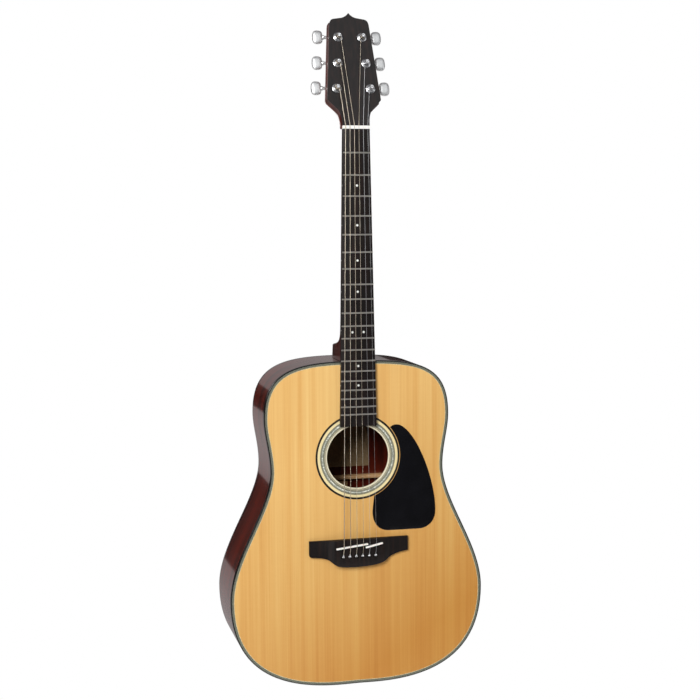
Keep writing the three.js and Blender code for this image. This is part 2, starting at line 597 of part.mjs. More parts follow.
function stringRoute(index, radius) {
  const { post, outward } = tunerOf(index);
  const nutX = stringAcross(index, STRINGS_AT_NUT);
  const saddleX = stringAcross(index, STRINGS_AT_SADDLE);
  const breakPoint = BODY.fromNut + saddleDown(saddleX);
  const over = -ACTION.atSaddle - radius;
  const inPocket = new THREE.Vector3(saddleX, -7.1, -POCKET.down).applyMatrix4(body.matrixWorld);
  const points = [
    inPocket,
    new THREE.Vector3(saddleX, over, -breakPoint - 1),
    new THREE.Vector3(saddleX, over, -breakPoint + 1),
    new THREE.Vector3(nutX, -ACTION.atNut - radius, -0.5),
    new THREE.Vector3(nutX, -ACTION.atNut - radius, NUT.thickness),
  ];

  const turnRadius = POST.waist + GAP + radius;
  const pitch = 2 * radius + 0.35;
  const centre = new THREE.Vector2(outward * post.out, post.along);
  const towardsNut = new THREE.Vector2(nutX, NUT.thickness).sub(centre);
  const first = towardsNut.angle() - outward * Math.acos(turnRadius / towardsNut.length());
  const perTurn = 10;
  for (let i = 0; i <= 1.6 * perTurn; i += 1) {
    const angle = first - outward * 2 * Math.PI * (i / perTurn);
    points.push(new THREE.Vector3(
      centre.x + turnRadius * Math.cos(angle), -8 + pitch * (i / perTurn),
      centre.y + turnRadius * Math.sin(angle)).applyMatrix4(head.matrixWorld));
  }
  return points;
}

function buildString(index) {
  const radius = STRING_RADII[index];
  const route = stringRoute(index, radius);
  const section = new THREE.Shape(circle(0, 0, radius, 6));
  const wire = new THREE.ExtrudeGeometry(section, {
    steps: route.length - 1, extrudePath: new Polyline(route), bevelEnabled: false });
  const ball = rodAlongX(1.9, route[0].x - 1.5, route[0].x + 1.5, route[0].y, route[0].z, 10);
  const finish = index < 4 ? 'bronze' : 'steel';
  addPart(guitar, `string_${6 - index}`, finish, toSolid(wire).add(toSolid(ball)));
}

buildShell();
buildInside();
buildNeck();
buildFingerboard();
buildBridge();
buildPickguard();
STRING_RADII.forEach((radius, index) => {
  const { post, outward } = tunerOf(index);
  buildTuner(6 - index, post, outward);
  buildString(index);
});

export default guitar;
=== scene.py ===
# A flat-top steel-string acoustic guitar, dressed piece by piece in the order in which it is put
# together: the box, the neck, the fittings, the tuning machines and last the strings.
import math

import bmesh
import bpy
import numpy as np
from mathutils import Matrix, Vector


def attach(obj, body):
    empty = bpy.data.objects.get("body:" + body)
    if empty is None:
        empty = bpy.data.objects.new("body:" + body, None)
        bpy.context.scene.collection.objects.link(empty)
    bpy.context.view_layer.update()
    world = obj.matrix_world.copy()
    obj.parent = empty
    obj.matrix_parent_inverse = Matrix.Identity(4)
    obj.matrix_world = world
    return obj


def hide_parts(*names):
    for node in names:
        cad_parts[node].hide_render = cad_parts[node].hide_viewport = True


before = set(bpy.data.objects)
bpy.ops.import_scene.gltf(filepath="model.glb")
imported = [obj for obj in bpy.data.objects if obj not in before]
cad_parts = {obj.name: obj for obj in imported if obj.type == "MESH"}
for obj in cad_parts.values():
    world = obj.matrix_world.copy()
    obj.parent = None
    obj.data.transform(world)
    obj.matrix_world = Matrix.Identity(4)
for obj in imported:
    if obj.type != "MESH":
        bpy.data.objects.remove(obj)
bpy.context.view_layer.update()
scene = bpy.context.scene
MM = 0.001


# ---- Soundboard -------------------------------------------------------------------------------
# A 3 mm plate of straight-grained spruce under clear lacquer. It is cut out round the body's
# outline, bored for the sound hole and grooved for the rosette, then glued to the sides.
BODY_CURVES = [  # across and up from the neck joint, mm: each curve's ends and handles
    ((0, 0), (94.3, 0), (148.8, -7.0), (148.8, -88.1)),
    ((148.8, -88.1), (148.8, -113.8), (139.1, -139.3), (139.1, -170.2)),
    ((139.1, -170.2), (139.1, -229.3), (204.5, -303.8), (204.5, -372.1)),
    ((204.5, -372.1), (204.5, -530.8), (42.5, -517.0), (0, -517.0)),
]
CURVE_STEPS = (44, 16, 36, 64)
BOARD_INSET = 5.7  # the binding and purfling take this much of the edge
HOLE_DOWN = 151.5
HOLE_RADIUS = 49.7
ROSETTE_INNER = 52.0
ROSETTE_OUTER = 68.0
GROOVE_DEPTH = 1.05

JOINT_DOWN = 357.5  # from the nut to the body, along the strings
BOARD_BEHIND = 7  # the soundboard, behind the fret tops at the joint
BODY_TILT = math.radians(0.56)
body_frame = Matrix.Translation((0, BOARD_BEHIND * MM, -JOINT_DOWN * MM)) @ Matrix.Rotation(BODY_TILT, 4, "X")


def colour(value):
    """A colour given as sRGB hex, as the linear values that shaders read."""
    parts = [int(value[i:i + 2], 16) / 255 for i in (0, 2, 4)]
    return (*[p / 12.92 if p <= 0.04045 else ((p + 0.055) / 1.055) ** 2.4 for p in parts], 1)


def add(tree, kind, settings=None, plugs=None):
    """Adds a node, sets it up, and fills its inputs with values or with other nodes' outputs."""
    node = tree.nodes.new(kind)
    for key, value in (settings or {}).items():
        if key == "stops":
            ramp = node.color_ramp
            while len(ramp.elements) < len(value):
                ramp.elements.new(0.5)
            for element, (place, shade) in zip(ramp.elements, value):
                element.position = place
                element.color = colour(shade)
        elif key == "ramp":
            node.color_ramp.interpolation = value
        else:
            setattr(node, key, value)
    for key, value in (plugs or {}).items():
        if isinstance(value, bpy.types.NodeSocket):
            tree.links.new(value, node.inputs[key])
        else:
            node.inputs[key].default_value = value
    return node


def begin(name):
    """An empty material and its node tree."""
    material = bpy.data.materials.new(name)
    material.use_nodes = True
    material.node_tree.nodes.clear()
    return material, material.node_tree


def bezier(curve, steps):
    """Points along a cubic curve."""
    a, b, c, d = [np.array(point, float) for point in curve]
    t = np.linspace(0, 1, steps + 1)[:, None]
    return (1 - t) ** 3 * a + 3 * t * (1 - t) ** 2 * b + 3 * t ** 2 * (1 - t) * c + t ** 3 * d


def body_half():
    """The treble half of the body's outline, from the neck joint round to the tail, in mm."""
    paired = enumerate(zip(BODY_CURVES, CURVE_STEPS))
    return np.vstack([bezier(curve, steps)[min(i, 1):] for i, (curve, steps) in paired])


def whole(half):
    """A half outline and its mirror image as one closed anticlockwise outline."""
    other = (half * (-1, 1))[::-1]
    ends = [abs(half[0, 0]) < 1e-6, abs(half[-1, 0]) < 1e-6]
    other = other[int(ends[1]):len(other) - int(ends[0])]
    return np.vstack([half, other])[::-1]


def moved_in(points, distance):
    """An outline moved to its left by a distance: in, for one that runs anticlockwise."""
    normals = []
    for edge in (points - np.roll(points, 1, 0), np.roll(points, -1, 0) - points):
        normal = np.stack([-edge[:, 1], edge[:, 0]], 1)
        normals.append(normal / np.linalg.norm(normal, axis=1)[:, None])
    share = 1 + (normals[0] * normals[1]).sum(1)
    return points + distance * (normals[0] + normals[1]) / share[:, None]


def circle(x, z, radius, sides):
    """A circle's points, anticlockwise, in mm."""
    angles = np.linspace(0, 2 * math.pi, sides, endpoint=False)
    return np.stack([x + radius * np.cos(angles), z + radius * np.sin(angles)], 1)


def plate(loops, slope=0.0):
    """A closed plate. Each loop is an outline, or a hole that runs clockwise, with its edge profile:
    pairs of inset and depth, from the front to the back. slope deepens it towards the tail."""
    bm = bmesh.new()
    caps = ([], [])
    for outline, profile in loops:
        rings = []
        for inset, depth in profile:
            points = moved_in(outline, inset)
            rings.append([bm.verts.new((x * MM, (depth - slope * z) * MM, z * MM)) for x, z in points])
        for ring, other in zip(rings, rings[1:]):
            for i in range(len(ring)):
                bm.faces.new((ring[i - 1], ring[i], other[i], other[i - 1]))
        for cap, ring in zip(caps, (rings[0], rings[-1])):
            cap.extend(bm.edges.get((ring[i - 1], ring[i])) for i in range(len(ring)))
    for cap in caps:
        bmesh.ops.triangle_fill(bm, use_beauty=True, edges=cap)
    return bm


def finished(name, bm, place, material, sharp=30):
    """A piece from its mesh: faces turned outward, laid in its place, smooth but for its edges."""
    bmesh.ops.recalc_face_normals(bm, faces=bm.faces)
    mesh = bpy.data.meshes.new(name)
    bm.to_mesh(mesh)
    bm.free()
    mesh.transform(place)
    mesh.polygons.foreach_set("use_smooth", [True] * len(mesh.polygons))
    mesh.set_sharp_from_angle(angle=math.radians(sharp))
    mesh.materials.append(material)
    piece = bpy.data.objects.new(name, mesh)
    scene.collection.objects.link(piece)
    return piece


def fit(piece, slot, *nodes, body="guitar"):
    """Fixes a piece to its body and hides the solids that it stands for. Its slot is not used."""
    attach(piece, body)
    if nodes:
        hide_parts(*nodes)
    return piece


# Spruce under clear lacquer: pale straw with straight grain lines, some 1.5 mm apart in late
# wood, and broader warm streaks where the growth was quicker. It has painted light: the colour is
# made paler towards the upper bass side and darker towards the treble side of the tail, as if lit
# from the upper left. The hole's rim is a pale ring. The lacquer gives a soft gloss.
spruce, tree = begin("spruce_clear_lacquer")
place = add(tree, "ShaderNodeTexCoord").outputs["Object"]
drawn_out = add(tree, "ShaderNodeMapping", {}, {"Vector": place, "Scale": (620, 40, 5)})
lines = add(tree, "ShaderNodeTexNoise", {}, {"Vector": drawn_out.outputs[0], "Scale": 1.0, "Detail": 2.0})
drawn_out = add(tree, "ShaderNodeMapping", {}, {"Vector": place, "Scale": (95, 12, 1.3)})
streaks = add(tree, "ShaderNodeTexNoise", {}, {"Vector": drawn_out.outputs[0], "Scale": 1.0, "Detail": 3.0})
flitch = add(tree, "ShaderNodeMapping", {}, {"Vector": place, "Scale": (17, 4, 1.1), "Location": (3, 0, 7)})
flitch = add(tree, "ShaderNodeTexNoise", {}, {"Vector": flitch.outputs[0], "Scale": 1.0, "Detail": 1.0})
drawn_out = add(tree, "ShaderNodeMapping", {}, {"Vector": place, "Scale": (60, 30, 240)})
silk = add(tree, "ShaderNodeTexNoise", {}, {"Vector": drawn_out.outputs[0], "Scale": 1.0, "Detail": 2.0})
tone = -0.05
for pattern, share in ((lines, 0.34), (streaks, 0.6), (flitch, 0.5), (silk, 0.05)):
    sum_so_far = add(tree, "ShaderNodeMath", {"operation": "MULTIPLY_ADD"},
                     {0: pattern.outputs["Fac"], 1: share, 2: tone})
    tone = sum_so_far.outputs[0]
shade = add(tree, "ShaderNodeValToRGB",
            {"stops": [(0.38, "d29a58"), (0.62, "dfae6b"), (0.80, "e6bb7a"), (1.0, "ecc88a")]},
            {"Fac": tone})
parts = add(tree, "ShaderNodeSeparateXYZ", {}, {0: place})
# Painted light: a diagonal ramp, paler towards the upper bass side and darker towards the treble side of the
# tail, multiplied into the wood's colour.
height = add(tree, "ShaderNodeMath", {"operation": "MULTIPLY_ADD"},
             {0: parts.outputs["X"], 1: -0.67, 2: parts.outputs["Z"]})
height = add(tree, "ShaderNodeMapRange", {},
             {"Value": height.outputs[0], "From Min": -0.87, "From Max": -0.45})
painted_light_falloff = add(tree, "ShaderNodeValToRGB",
           {"stops": [(0.0, "dabf89"), (0.5, "f1e9d1"), (1.0, "fffff3")]}, {"Fac": height.outputs[0]})
shade = add(tree, "ShaderNodeMix", {"data_type": "RGBA", "blend_type": "MULTIPLY"},
            {0: 1.0, 6: shade.outputs[0], 7: painted_light_falloff.outputs[0]})
rim = add(tree, "ShaderNodeMapping", {},
          {"Vector": place, "Location": (0, 0, (JOINT_DOWN + HOLE_DOWN) * MM), "Scale": (1, 0, 1)})
rim = add(tree, "ShaderNodeVectorMath", {"operation": "LENGTH"}, {0: rim.outputs[0]})
rim = add(tree, "ShaderNodeMath", {"operation": "LESS_THAN"},
          {0: rim.outputs["Value"], 1: ROSETTE_INNER * MM})
shade = add(tree, "ShaderNodeMix", {"data_type": "RGBA"},
            {0: rim.outputs[0], 6: shade.outputs[2], 7: colour("e2dabd")})
grain = add(tree, "ShaderNodeBump", {}, {"Height": lines.outputs["Fac"], "Strength": 0.08,
                                         "Distance": 0.0002})
shader = add(tree, "ShaderNodeBsdfPrincipled", {},
             {"Base Color": shade.outputs[2], "Roughness": 0.42, "Coat Weight": 0.35,
              "Coat Roughness": 0.12, "Normal": grain.outputs[0]})
add(tree, "ShaderNodeOutputMaterial", {}, {"Surface": shader.outputs[0]})

body_edge = whole(body_half())
board_edge = [(BOARD_INSET, 0), (BOARD_INSET, 3)]
hole_edge = [(ROSETTE_OUTER + 0.05 - HOLE_RADIUS, 0), (ROSETTE_OUTER + 0.05 - HOLE_RADIUS, GROOVE_DEPTH),
             (ROSETTE_INNER - 0.05 - HOLE_RADIUS, GROOVE_DEPTH), (ROSETTE_INNER - 0.05 - HOLE_RADIUS, 0),
             (0.35, 0), (0.1, 0.1), (0, 0.35), (0, 2.7), (0.3, 3)]
hole = circle(0, -HOLE_DOWN, HOLE_RADIUS, 144)[::-1]
soundboard = finished("soundboard_plate", plate([(body_edge, board_edge), (hole, hole_edge)]), body_frame,
                      spruce)
fit(soundboard, "spruce", "soundboard")


# ---- Rosette ----------------------------------------------------------------------------------
# Rings let into a groove round the sound hole: mottled pearl plastic between grey and black
# lines, then plain wood and a wide black ring. Scraped flush with the board and lacquered over.
rosette_inlay, tree = begin("rosette_rings_lacquered")
place = add(tree, "ShaderNodeTexCoord").outputs["Object"]
centred = add(tree, "ShaderNodeMapping", {"vector_type": "POINT"},
              {"Vector": place, "Location": (0, 0, (JOINT_DOWN + HOLE_DOWN) * MM), "Scale": (1, 0, 1)})
radius = add(tree, "ShaderNodeVectorMath", {"operation": "LENGTH"}, {0: centred.outputs[0]})
across = add(tree, "ShaderNodeMapRange", {},
             {"Value": radius.outputs["Value"], "From Min": ROSETTE_INNER * MM,
              "From Max": ROSETTE_OUTER * MM})
rings = add(tree, "ShaderNodeValToRGB",
            {"ramp": "CONSTANT",
             "stops": [(0.0, "4a4438"), (0.045, "d6cfae"), (0.09, "6d6a58"), (0.16, "9c9a84"),
                       (0.2, "55534a"),
                       (0.25, "ffffff"), (0.38, "55534a"), (0.43, "9c9a84"), (0.47, "6d6a58"),
                       (0.54, "ddd2a6"),
                       (0.58, "e9d7a2"), (0.80, "1a1512")]},
            {"Fac": across.outputs[0]})
chips = add(tree, "ShaderNodeTexVoronoi", {}, {"Vector": place, "Scale": 520.0})
chips = add(tree, "ShaderNodeValToRGB",
            {"stops": [(0.0, "6f7263"), (0.45, "a9aea0"), (0.7, "d9dccd"), (1.0, "f3f4ea")]},
            {"Fac": chips.outputs["Color"]})
inner = add(tree, "ShaderNodeMath", {"operation": "GREATER_THAN"}, {0: across.outputs[0], 1: 0.25})
outer = add(tree, "ShaderNodeMath", {"operation": "LESS_THAN"}, {0: across.outputs[0], 1: 0.38})
pearl = add(tree, "ShaderNodeMath", {"operation": "MULTIPLY"}, {0: inner.outputs[0], 1: outer.outputs[0]})
shade = add(tree, "ShaderNodeMix", {"data_type": "RGBA"},
            {0: pearl.outputs[0], 6: rings.outputs[0], 7: chips.outputs[0]})
shader = add(tree, "ShaderNodeBsdfPrincipled", {},
             {"Base Color": shade.outputs[2], "Roughness": 0.4, "Coat Weight": 0.35,
              "Coat Roughness": 0.12})
add(tree, "ShaderNodeOutputMaterial", {}, {"Surface": shader.outputs[0]})

ring_edge = [(0, 0), (0, 1)]
rosette = plate([(circle(0, -HOLE_DOWN, ROSETTE_OUTER, 144), ring_edge),
                 (circle(0, -HOLE_DOWN, ROSETTE_INNER, 144)[::-1], ring_edge)])
fit(finished("rosette_rings", rosette, body_frame, rosette_inlay), "rosette_inlay", "rosette")


# ---- Sides ------------------------------------------------------------------------------------
# Two ribs of mahogany 2.5 mm thick, bent over a hot iron and butted at the neck and the tail.
# Stained a deep red brown and polished under thick lacquer, so they mirror the studio.
DEPTH_AT_NECK = 98.0
BACK_SLOPE = 29.5 / 517  # the body deepens towards the tail
BINDING_HEIGHT = 6.0


def loft(sections, closed=False):
    """A skin over sections, lists of points in mm with equal counts, with its ends closed.
    Its UV map holds the distance along and the distance around, in metres."""
    bm = bmesh.new()
    uv = bm.loops.layers.uv.new("UVMap")
    rows = [[bm.verts.new(Vector(point) * MM) for point in section] for section in sections]
    count = len(rows[0])
    middle = [sum((v.co for v in row), Vector()) / count for row in rows]
    along = [0.0]
    for here, there in zip(rows, rows[1:] + rows[:1]):
        along.append(along[-1] + (there[0].co - here[0].co).length)
    around = [0.0]
    widest = max(rows, key=lambda row: (row[0].co - row[count // 2].co).length)
    for j in range(count):
        around.append(around[-1] + (widest[(j + 1) % count].co - widest[j].co).length)
    for i in range(len(rows) if closed else len(rows) - 1):
        here, there = rows[i], rows[(i + 1) % len(rows)]
        for j in range(count):
            k = (j + 1) % count
            face = bm.faces.new((here[j], here[k], there[k], there[j]))
            spots = ((i, j), (i, j + 1), (i + 1, j + 1), (i + 1, j))
            for loop, (a, b) in zip(face.loops, spots):
                loop[uv].uv = (along[a], around[b])
    if not closed:
        for row, centre in ((rows[0], middle[0]), (rows[-1], middle[-1])):
            for loop in bm.faces.new(row).loops:
                loop[uv].uv = ((loop.vert.co - centre).x, (loop.vert.co - centre).y)
    bmesh.ops.triangulate(bm, faces=[f for f in bm.faces if len(f.verts) > 4])
    return bm


# Mahogany under gloss lacquer: a red brown ground with darker ribbon stripes along the grain,
# short open pores about 0.3 mm wide drawn a little coarser, and a mirror-like clear coat.
mahogany, tree = begin("mahogany_stained_gloss")
run = add(tree, "ShaderNodeUVMap", {"uv_map": "UVMap"}).outputs[0]
drawn_out = add(tree, "ShaderNodeMapping", {}, {"Vector": run, "Scale": (4, 70, 1)})
ribbon = add(tree, "ShaderNodeTexNoise", {}, {"Vector": drawn_out.outputs[0], "Scale": 1.0, "Detail": 3.0})
drawn_out = add(tree, "ShaderNodeMapping", {}, {"Vector": run, "Scale": (110, 1600, 1)})
pores = add(tree, "ShaderNodeTexNoise", {}, {"Vector": drawn_out.outputs[0], "Scale": 1.0, "Detail": 1.0})
ground = add(tree, "ShaderNodeValToRGB",
             {"stops": [(0.3, "360e06"), (0.5, "5c190a"), (0.72, "7a240f")]}, {"Fac": ribbon.outputs["Fac"]})
holes = add(tree, "ShaderNodeValToRGB",
            {"stops": [(0.30, "5a4a46"), (0.42, "ffffff")]}, {"Fac": pores.outputs["Fac"]})
shade = add(tree, "ShaderNodeMix", {"data_type": "RGBA", "blend_type": "MULTIPLY"},
            {0: 1.0, 6: ground.outputs[0], 7: holes.outputs[0]})
shader = add(tree, "ShaderNodeBsdfPrincipled", {},
             {"Base Color": shade.outputs[2], "Roughness": 0.35, "Coat Weight": 1.0,
              "Coat Roughness": 0.02})
add(tree, "ShaderNodeOutputMaterial", {}, {"Surface": shader.outputs[0]})


def back_depth(z):
    """How deep the back's outer face lies behind the soundboard, at a height below the neck joint."""
    return DEPTH_AT_NECK - BACK_SLOPE * z


edge_in = moved_in(body_edge, 2.5)
half_way = int(np.argmin(body_edge[:, 1]))
for name, picked in (("treble", [(half_way + i) % len(body_edge) for i in range(len(body_edge) // 2 + 1)]),
                     ("bass", [(half_way - i) % len(body_edge) for i in range(len(body_edge) // 2 + 1)])):
    sign = 1 if body_edge[picked[10], 0] > 0 else -1
    rib = []
    spots = [(*body_edge[i], *edge_in[i]) for i in picked]
    spots = [spot for spot in spots if spot[0] * sign > -1e-6] + [(0, 0, 0, -2.5)]
    for x, z, xi, zi in spots:
        x, xi = [max(abs(v), 0.1) * sign for v in (x, xi)]
        front, rear = BINDING_HEIGHT + 0.02, back_depth(z) - BINDING_HEIGHT - 0.02
        steps = [front + (rear - front) * share for share in (0, 0.25, 0.5, 0.75, 1)]
        rib.append([(x, y, z) for y in steps] + [(xi, y, zi) for y in reversed(steps)])
    piece = finished(f"side_{name}_rib", loft(rib), body_frame, mahogany, 40)
    fit(piece, "mahogany", f"side_{name}")


# ---- Binding and purfling -----------------------------------------------------------------------
# Black plastic strips glued into a rebate all round the front and the back. Inside the front one
# runs a purfling of many thin plies, black, grey-green and white, level with the soundboard.
black_binding, tree = begin("celluloid_black_polished")
place = add(tree, "ShaderNodeTexCoord").outputs["Object"]
wear = add(tree, "ShaderNodeTexNoise", {}, {"Vector": place, "Scale": 900.0, "Detail": 3.0})
shade = add(tree, "ShaderNodeValToRGB", {"stops": [(0.3, "0d0d0c"), (0.7, "1b1a18")]},
            {"Fac": wear.outputs["Fac"]})
rough = add(tree, "ShaderNodeMapRange", {}, {"Value": wear.outputs["Fac"], "To Min": 0.12, "To Max": 0.28})
shader = add(tree, "ShaderNodeBsdfPrincipled", {},
             {"Base Color": shade.outputs[0], "Roughness": rough.outputs[0], "Coat Weight": 0.5,
              "Coat Roughness": 0.05})
add(tree, "ShaderNodeOutputMaterial", {}, {"Surface": shader.outputs[0]})

insets = {inset: moved_in(body_edge, inset) for inset in (0, 0.2, 0.7, 1.8, 1.82, 5.68)}
strip = [[(*insets[0][i], 6), (*insets[0][i], 0.7), (*insets[0.2][i], 0.2), (*insets[0.7][i], 0),
          (*insets[1.8][i], 0), (*insets[1.8][i], 6)] for i in range(len(body_edge))]
strip = [[(x, y, z) for x, z, y in section] for section in strip]
fit(finished("top_binding_strip", loft(strip, True), body_frame, black_binding), "black_plastic",
    "top_binding")

strip = [[(*insets[0][i], -6), (*insets[0][i], -0.7), (*insets[0.2][i], -0.2), (*insets[0.7][i], 0),
          (*insets[1.8][i], 0), (*insets[1.8][i], -6)] for i in range(len(body_edge))]
strip = [[(x, y + back_depth(z), z) for x, z, y in section] for section in strip]
fit(finished("back_binding_strip", loft(strip, True), body_frame, black_binding), "black_plastic",
    "back_binding")

# Laminated fibre and plastic plies: each line is about 0.4 mm wide, drawn here as wide as it
# needs to show. The UV map's second number is the distance across the strip.
purfling_plies, tree = begin("purfling_plies_lacquered")
run = add(tree, "ShaderNodeUVMap", {"uv_map": "UVMap"}).outputs[0]
parts = add(tree, "ShaderNodeSeparateXYZ", {}, {0: run})
across = add(tree, "ShaderNodeMapRange", {}, {"Value": parts.outputs["Y"], "From Max": 3.86 * MM})
fleck = add(tree, "ShaderNodeTexNoise", {}, {"Vector": run, "Scale": 700.0, "Detail": 2.0})
plies = add(tree, "ShaderNodeValToRGB",
            {"ramp": "CONSTANT",
             "stops": [(0.0, "8b8f80"), (0.13, "474a40"), (0.24, "8a8e7c"), (0.38, "5c6054"), (0.5, "959985"),
                       (0.62, "4e5046"), (0.74, "7d7a64"), (0.82, "f0e3b6")]},
            {"Fac": across.outputs[0]})
mottle = add(tree, "ShaderNodeValToRGB", {"stops": [(0.3, "b8b8b8"), (0.7, "ffffff")]},
             {"Fac": fleck.outputs["Fac"]})
shade = add(tree, "ShaderNodeMix", {"data_type": "RGBA", "blend_type": "MULTIPLY"},
            {0: 1.0, 6: plies.outputs[0], 7: mottle.outputs[0]})
shader = add(tree, "ShaderNodeBsdfPrincipled", {},
             {"Base Color": shade.outputs[2], "Roughness": 0.4, "Coat Weight": 0.35,
              "Coat Roughness": 0.12})
add(tree, "ShaderNodeOutputMaterial", {}, {"Surface": shader.outputs[0]})

strip = [[(insets[1.82][i][0], 0, insets[1.82][i][1]), (insets[5.68][i][0], 0, insets[5.68][i][1]),
          (insets[5.68][i][0], 3, insets[5.68][i][1]), (insets[1.82][i][0], 3, insets[1.82][i][1])]
         for i in range(len(body_edge))]
fit(finished("top_purfling", loft(strip, True), body_frame, purfling_plies), "rosette_inlay")


# ---- Back ---------------------------------------------------------------------------------------
# Two bookmatched plates of mahogany, joined down the middle and polished like the sides. The
# figure is the sides' own, run lengthways and mirrored at the joint.
back_wood, tree = begin("mahogany_bookmatched_gloss")
place = add(tree, "ShaderNodeTexCoord").outputs["Object"]
fold = add(tree, "ShaderNodeVectorMath", {"operation": "ABSOLUTE"}, {0: place})
ribbon = add(tree, "ShaderNodeMapping", {}, {"Vector": fold.outputs[0], "Scale": (75, 10, 5)})
ribbon = add(tree, "ShaderNodeTexNoise", {}, {"Vector": ribbon.outputs[0], "Scale": 1.0, "Detail": 3.0})
pores = add(tree, "ShaderNodeMapping", {}, {"Vector": fold.outputs[0], "Scale": (1600, 200, 110)})
pores = add(tree, "ShaderNodeTexNoise", {}, {"Vector": pores.outputs[0], "Scale": 1.0, "Detail": 1.0})
ground = add(tree, "ShaderNodeValToRGB",
             {"stops": [(0.3, "360e06"), (0.5, "5c190a"), (0.72, "7a240f")]}, {"Fac": ribbon.outputs["Fac"]})
holes = add(tree, "ShaderNodeValToRGB",
            {"stops": [(0.30, "5a4a46"), (0.42, "ffffff")]}, {"Fac": pores.outputs["Fac"]})
shade = add(tree, "ShaderNodeMix", {"data_type": "RGBA", "blend_type": "MULTIPLY"},
            {0: 1.0, 6: ground.outputs[0], 7: holes.outputs[0]})
shader = add(tree, "ShaderNodeBsdfPrincipled", {},
             {"Base Color": shade.outputs[2], "Roughness": 0.35, "Coat Weight": 1.0,
              "Coat Roughness": 0.03})
add(tree, "ShaderNodeOutputMaterial", {}, {"Surface": shader.outputs[0]})

back = plate([(body_edge, [(1.85, DEPTH_AT_NECK - 3), (1.85, DEPTH_AT_NECK)])], BACK_SLOPE)
fit(finished("back_plate", back, body_frame, back_wood), "mahogany", "back")


# ---- Inside the body ----------------------------------------------------------------------------
# Bare planed spruce braces and mahogany blocks, glued to the plates before the box is closed.
# The linings are strips sawn nearly through every 6 mm, so that they bend round the sides.
KERF_PITCH = 6.2
LINING_WIDTH = 6.5
LINING_HEIGHT = 13.7


def begin_tree(name, inputs):
    """A geometry tree with named inputs, and its input node."""
    tree = bpy.data.node_groups.new(name, "GeometryNodeTree")
    tree.interface.new_socket(name="Geometry", in_out="INPUT", socket_type="NodeSocketGeometry")
    tree.interface.new_socket(name="Geometry", in_out="OUTPUT", socket_type="NodeSocketGeometry")
    for label, kind in inputs:
        tree.interface.new_socket(name=label, in_out="INPUT", socket_type=f"NodeSocket{kind}")
    return tree, tree.nodes.new("NodeGroupInput").outputs


def grown(name, points, edges, tree, values, place):
    """What a tree makes from points and edges in mm, as a plain mesh piece laid in its place."""
    mesh = bpy.data.meshes.new(name)
    mesh.from_pydata([[v * MM for v in point] for point in points], edges, [])
    piece = bpy.data.objects.new(name, mesh)
    scene.collection.objects.link(piece)
    modifier = piece.modifiers.new("rule", "NODES")
    modifier.node_group = tree
    for item in tree.interface.items_tree:
        if item.in_out == "INPUT" and item.name in values:
            modifier[item.identifier] = values[item.name]
    graph = bpy.context.evaluated_depsgraph_get()
    result = bpy.data.meshes.new_from_object(piece.evaluated_get(graph), depsgraph=graph)
    piece.modifiers.clear()
    piece.data = result
    result.transform(place)
    return piece


kerfing, inputs = begin_tree("kerfed_lining", [("Pitch", "Float"), ("Block", "Vector"), ("Taper", "Float"),
                                               ("Wood", "Material")])
path = add(kerfing, "GeometryNodeMeshToCurve", {}, {0: inputs["Geometry"]})
path = add(kerfing, "GeometryNodeResampleCurve", {"mode": "LENGTH"},
           {"Curve": path.outputs[0], "Length": inputs["Pitch"]})
block = add(kerfing, "GeometryNodeMeshCube", {}, {"Size": inputs["Block"]})
corner = add(kerfing, "ShaderNodeSeparateXYZ", {}, {0: add(kerfing, "GeometryNodeInputPosition").outputs[0]})
deep = add(kerfing, "ShaderNodeMath", {"operation": "GREATER_THAN"}, {0: corner.outputs["Y"], 1: 0.0})
inward = add(kerfing, "ShaderNodeMath", {"operation": "GREATER_THAN"}, {0: corner.outputs["Z"], 1: 0.0})
picked = add(kerfing, "ShaderNodeMath", {"operation": "MULTIPLY"}, {0: deep.outputs[0], 1: inward.outputs[0]})
shift = add(kerfing, "ShaderNodeCombineXYZ", {}, {"Z": inputs["Taper"]})
block = add(kerfing, "GeometryNodeSetPosition", {},
            {"Geometry": block.outputs["Mesh"], "Selection": picked.outputs[0], "Offset": shift.outputs[0]})
heading = add(kerfing, "FunctionNodeAlignRotationToVector", {"axis": "X", "pivot_axis": "Y"},
              {"Vector": add(kerfing, "GeometryNodeInputTangent").outputs[0]})
blocks = add(kerfing, "GeometryNodeInstanceOnPoints", {},
             {"Points": path.outputs[0], "Instance": block.outputs[0], "Rotation": heading.outputs[0]})
blocks = add(kerfing, "GeometryNodeRealizeInstances", {}, {0: blocks.outputs[0]})
blocks = add(kerfing, "GeometryNodeSetMaterial", {},
             {"Geometry": blocks.outputs[0], "Material": inputs["Wood"]})
add(kerfing, "NodeGroupOutput", {}, {0: blocks.outputs[0]})

# Bare brace wood: pale, matt, with grain lines about 1.5 mm apart and the plane's faint ripple.
brace_wood, tree = begin("spruce_bare_planed")
place = add(tree, "ShaderNodeTexCoord").outputs["Object"]
drawn_out = add(tree, "ShaderNodeMapping", {}, {"Vector": place, "Scale": (300, 650, 300)})
lines = add(tree, "ShaderNodeTexNoise", {}, {"Vector": drawn_out.outputs[0], "Scale": 1.0, "Detail": 3.0})
shade = add(tree, "ShaderNodeValToRGB",
            {"stops": [(0.3, "b98a5a"), (0.55, "cba173"), (0.75, "d8b488")]}, {"Fac": lines.outputs["Fac"]})
grain = add(tree, "ShaderNodeBump", {}, {"Height": lines.outputs["Fac"], "Strength": 0.3, "Distance": 0.0003})
shader = add(tree, "ShaderNodeBsdfPrincipled", {},
             {"Base Color": shade.outputs[0], "Roughness": 0.75, "Normal": grain.outputs[0]})
add(tree, "ShaderNodeOutputMaterial", {}, {"Surface": shader.outputs[0]})

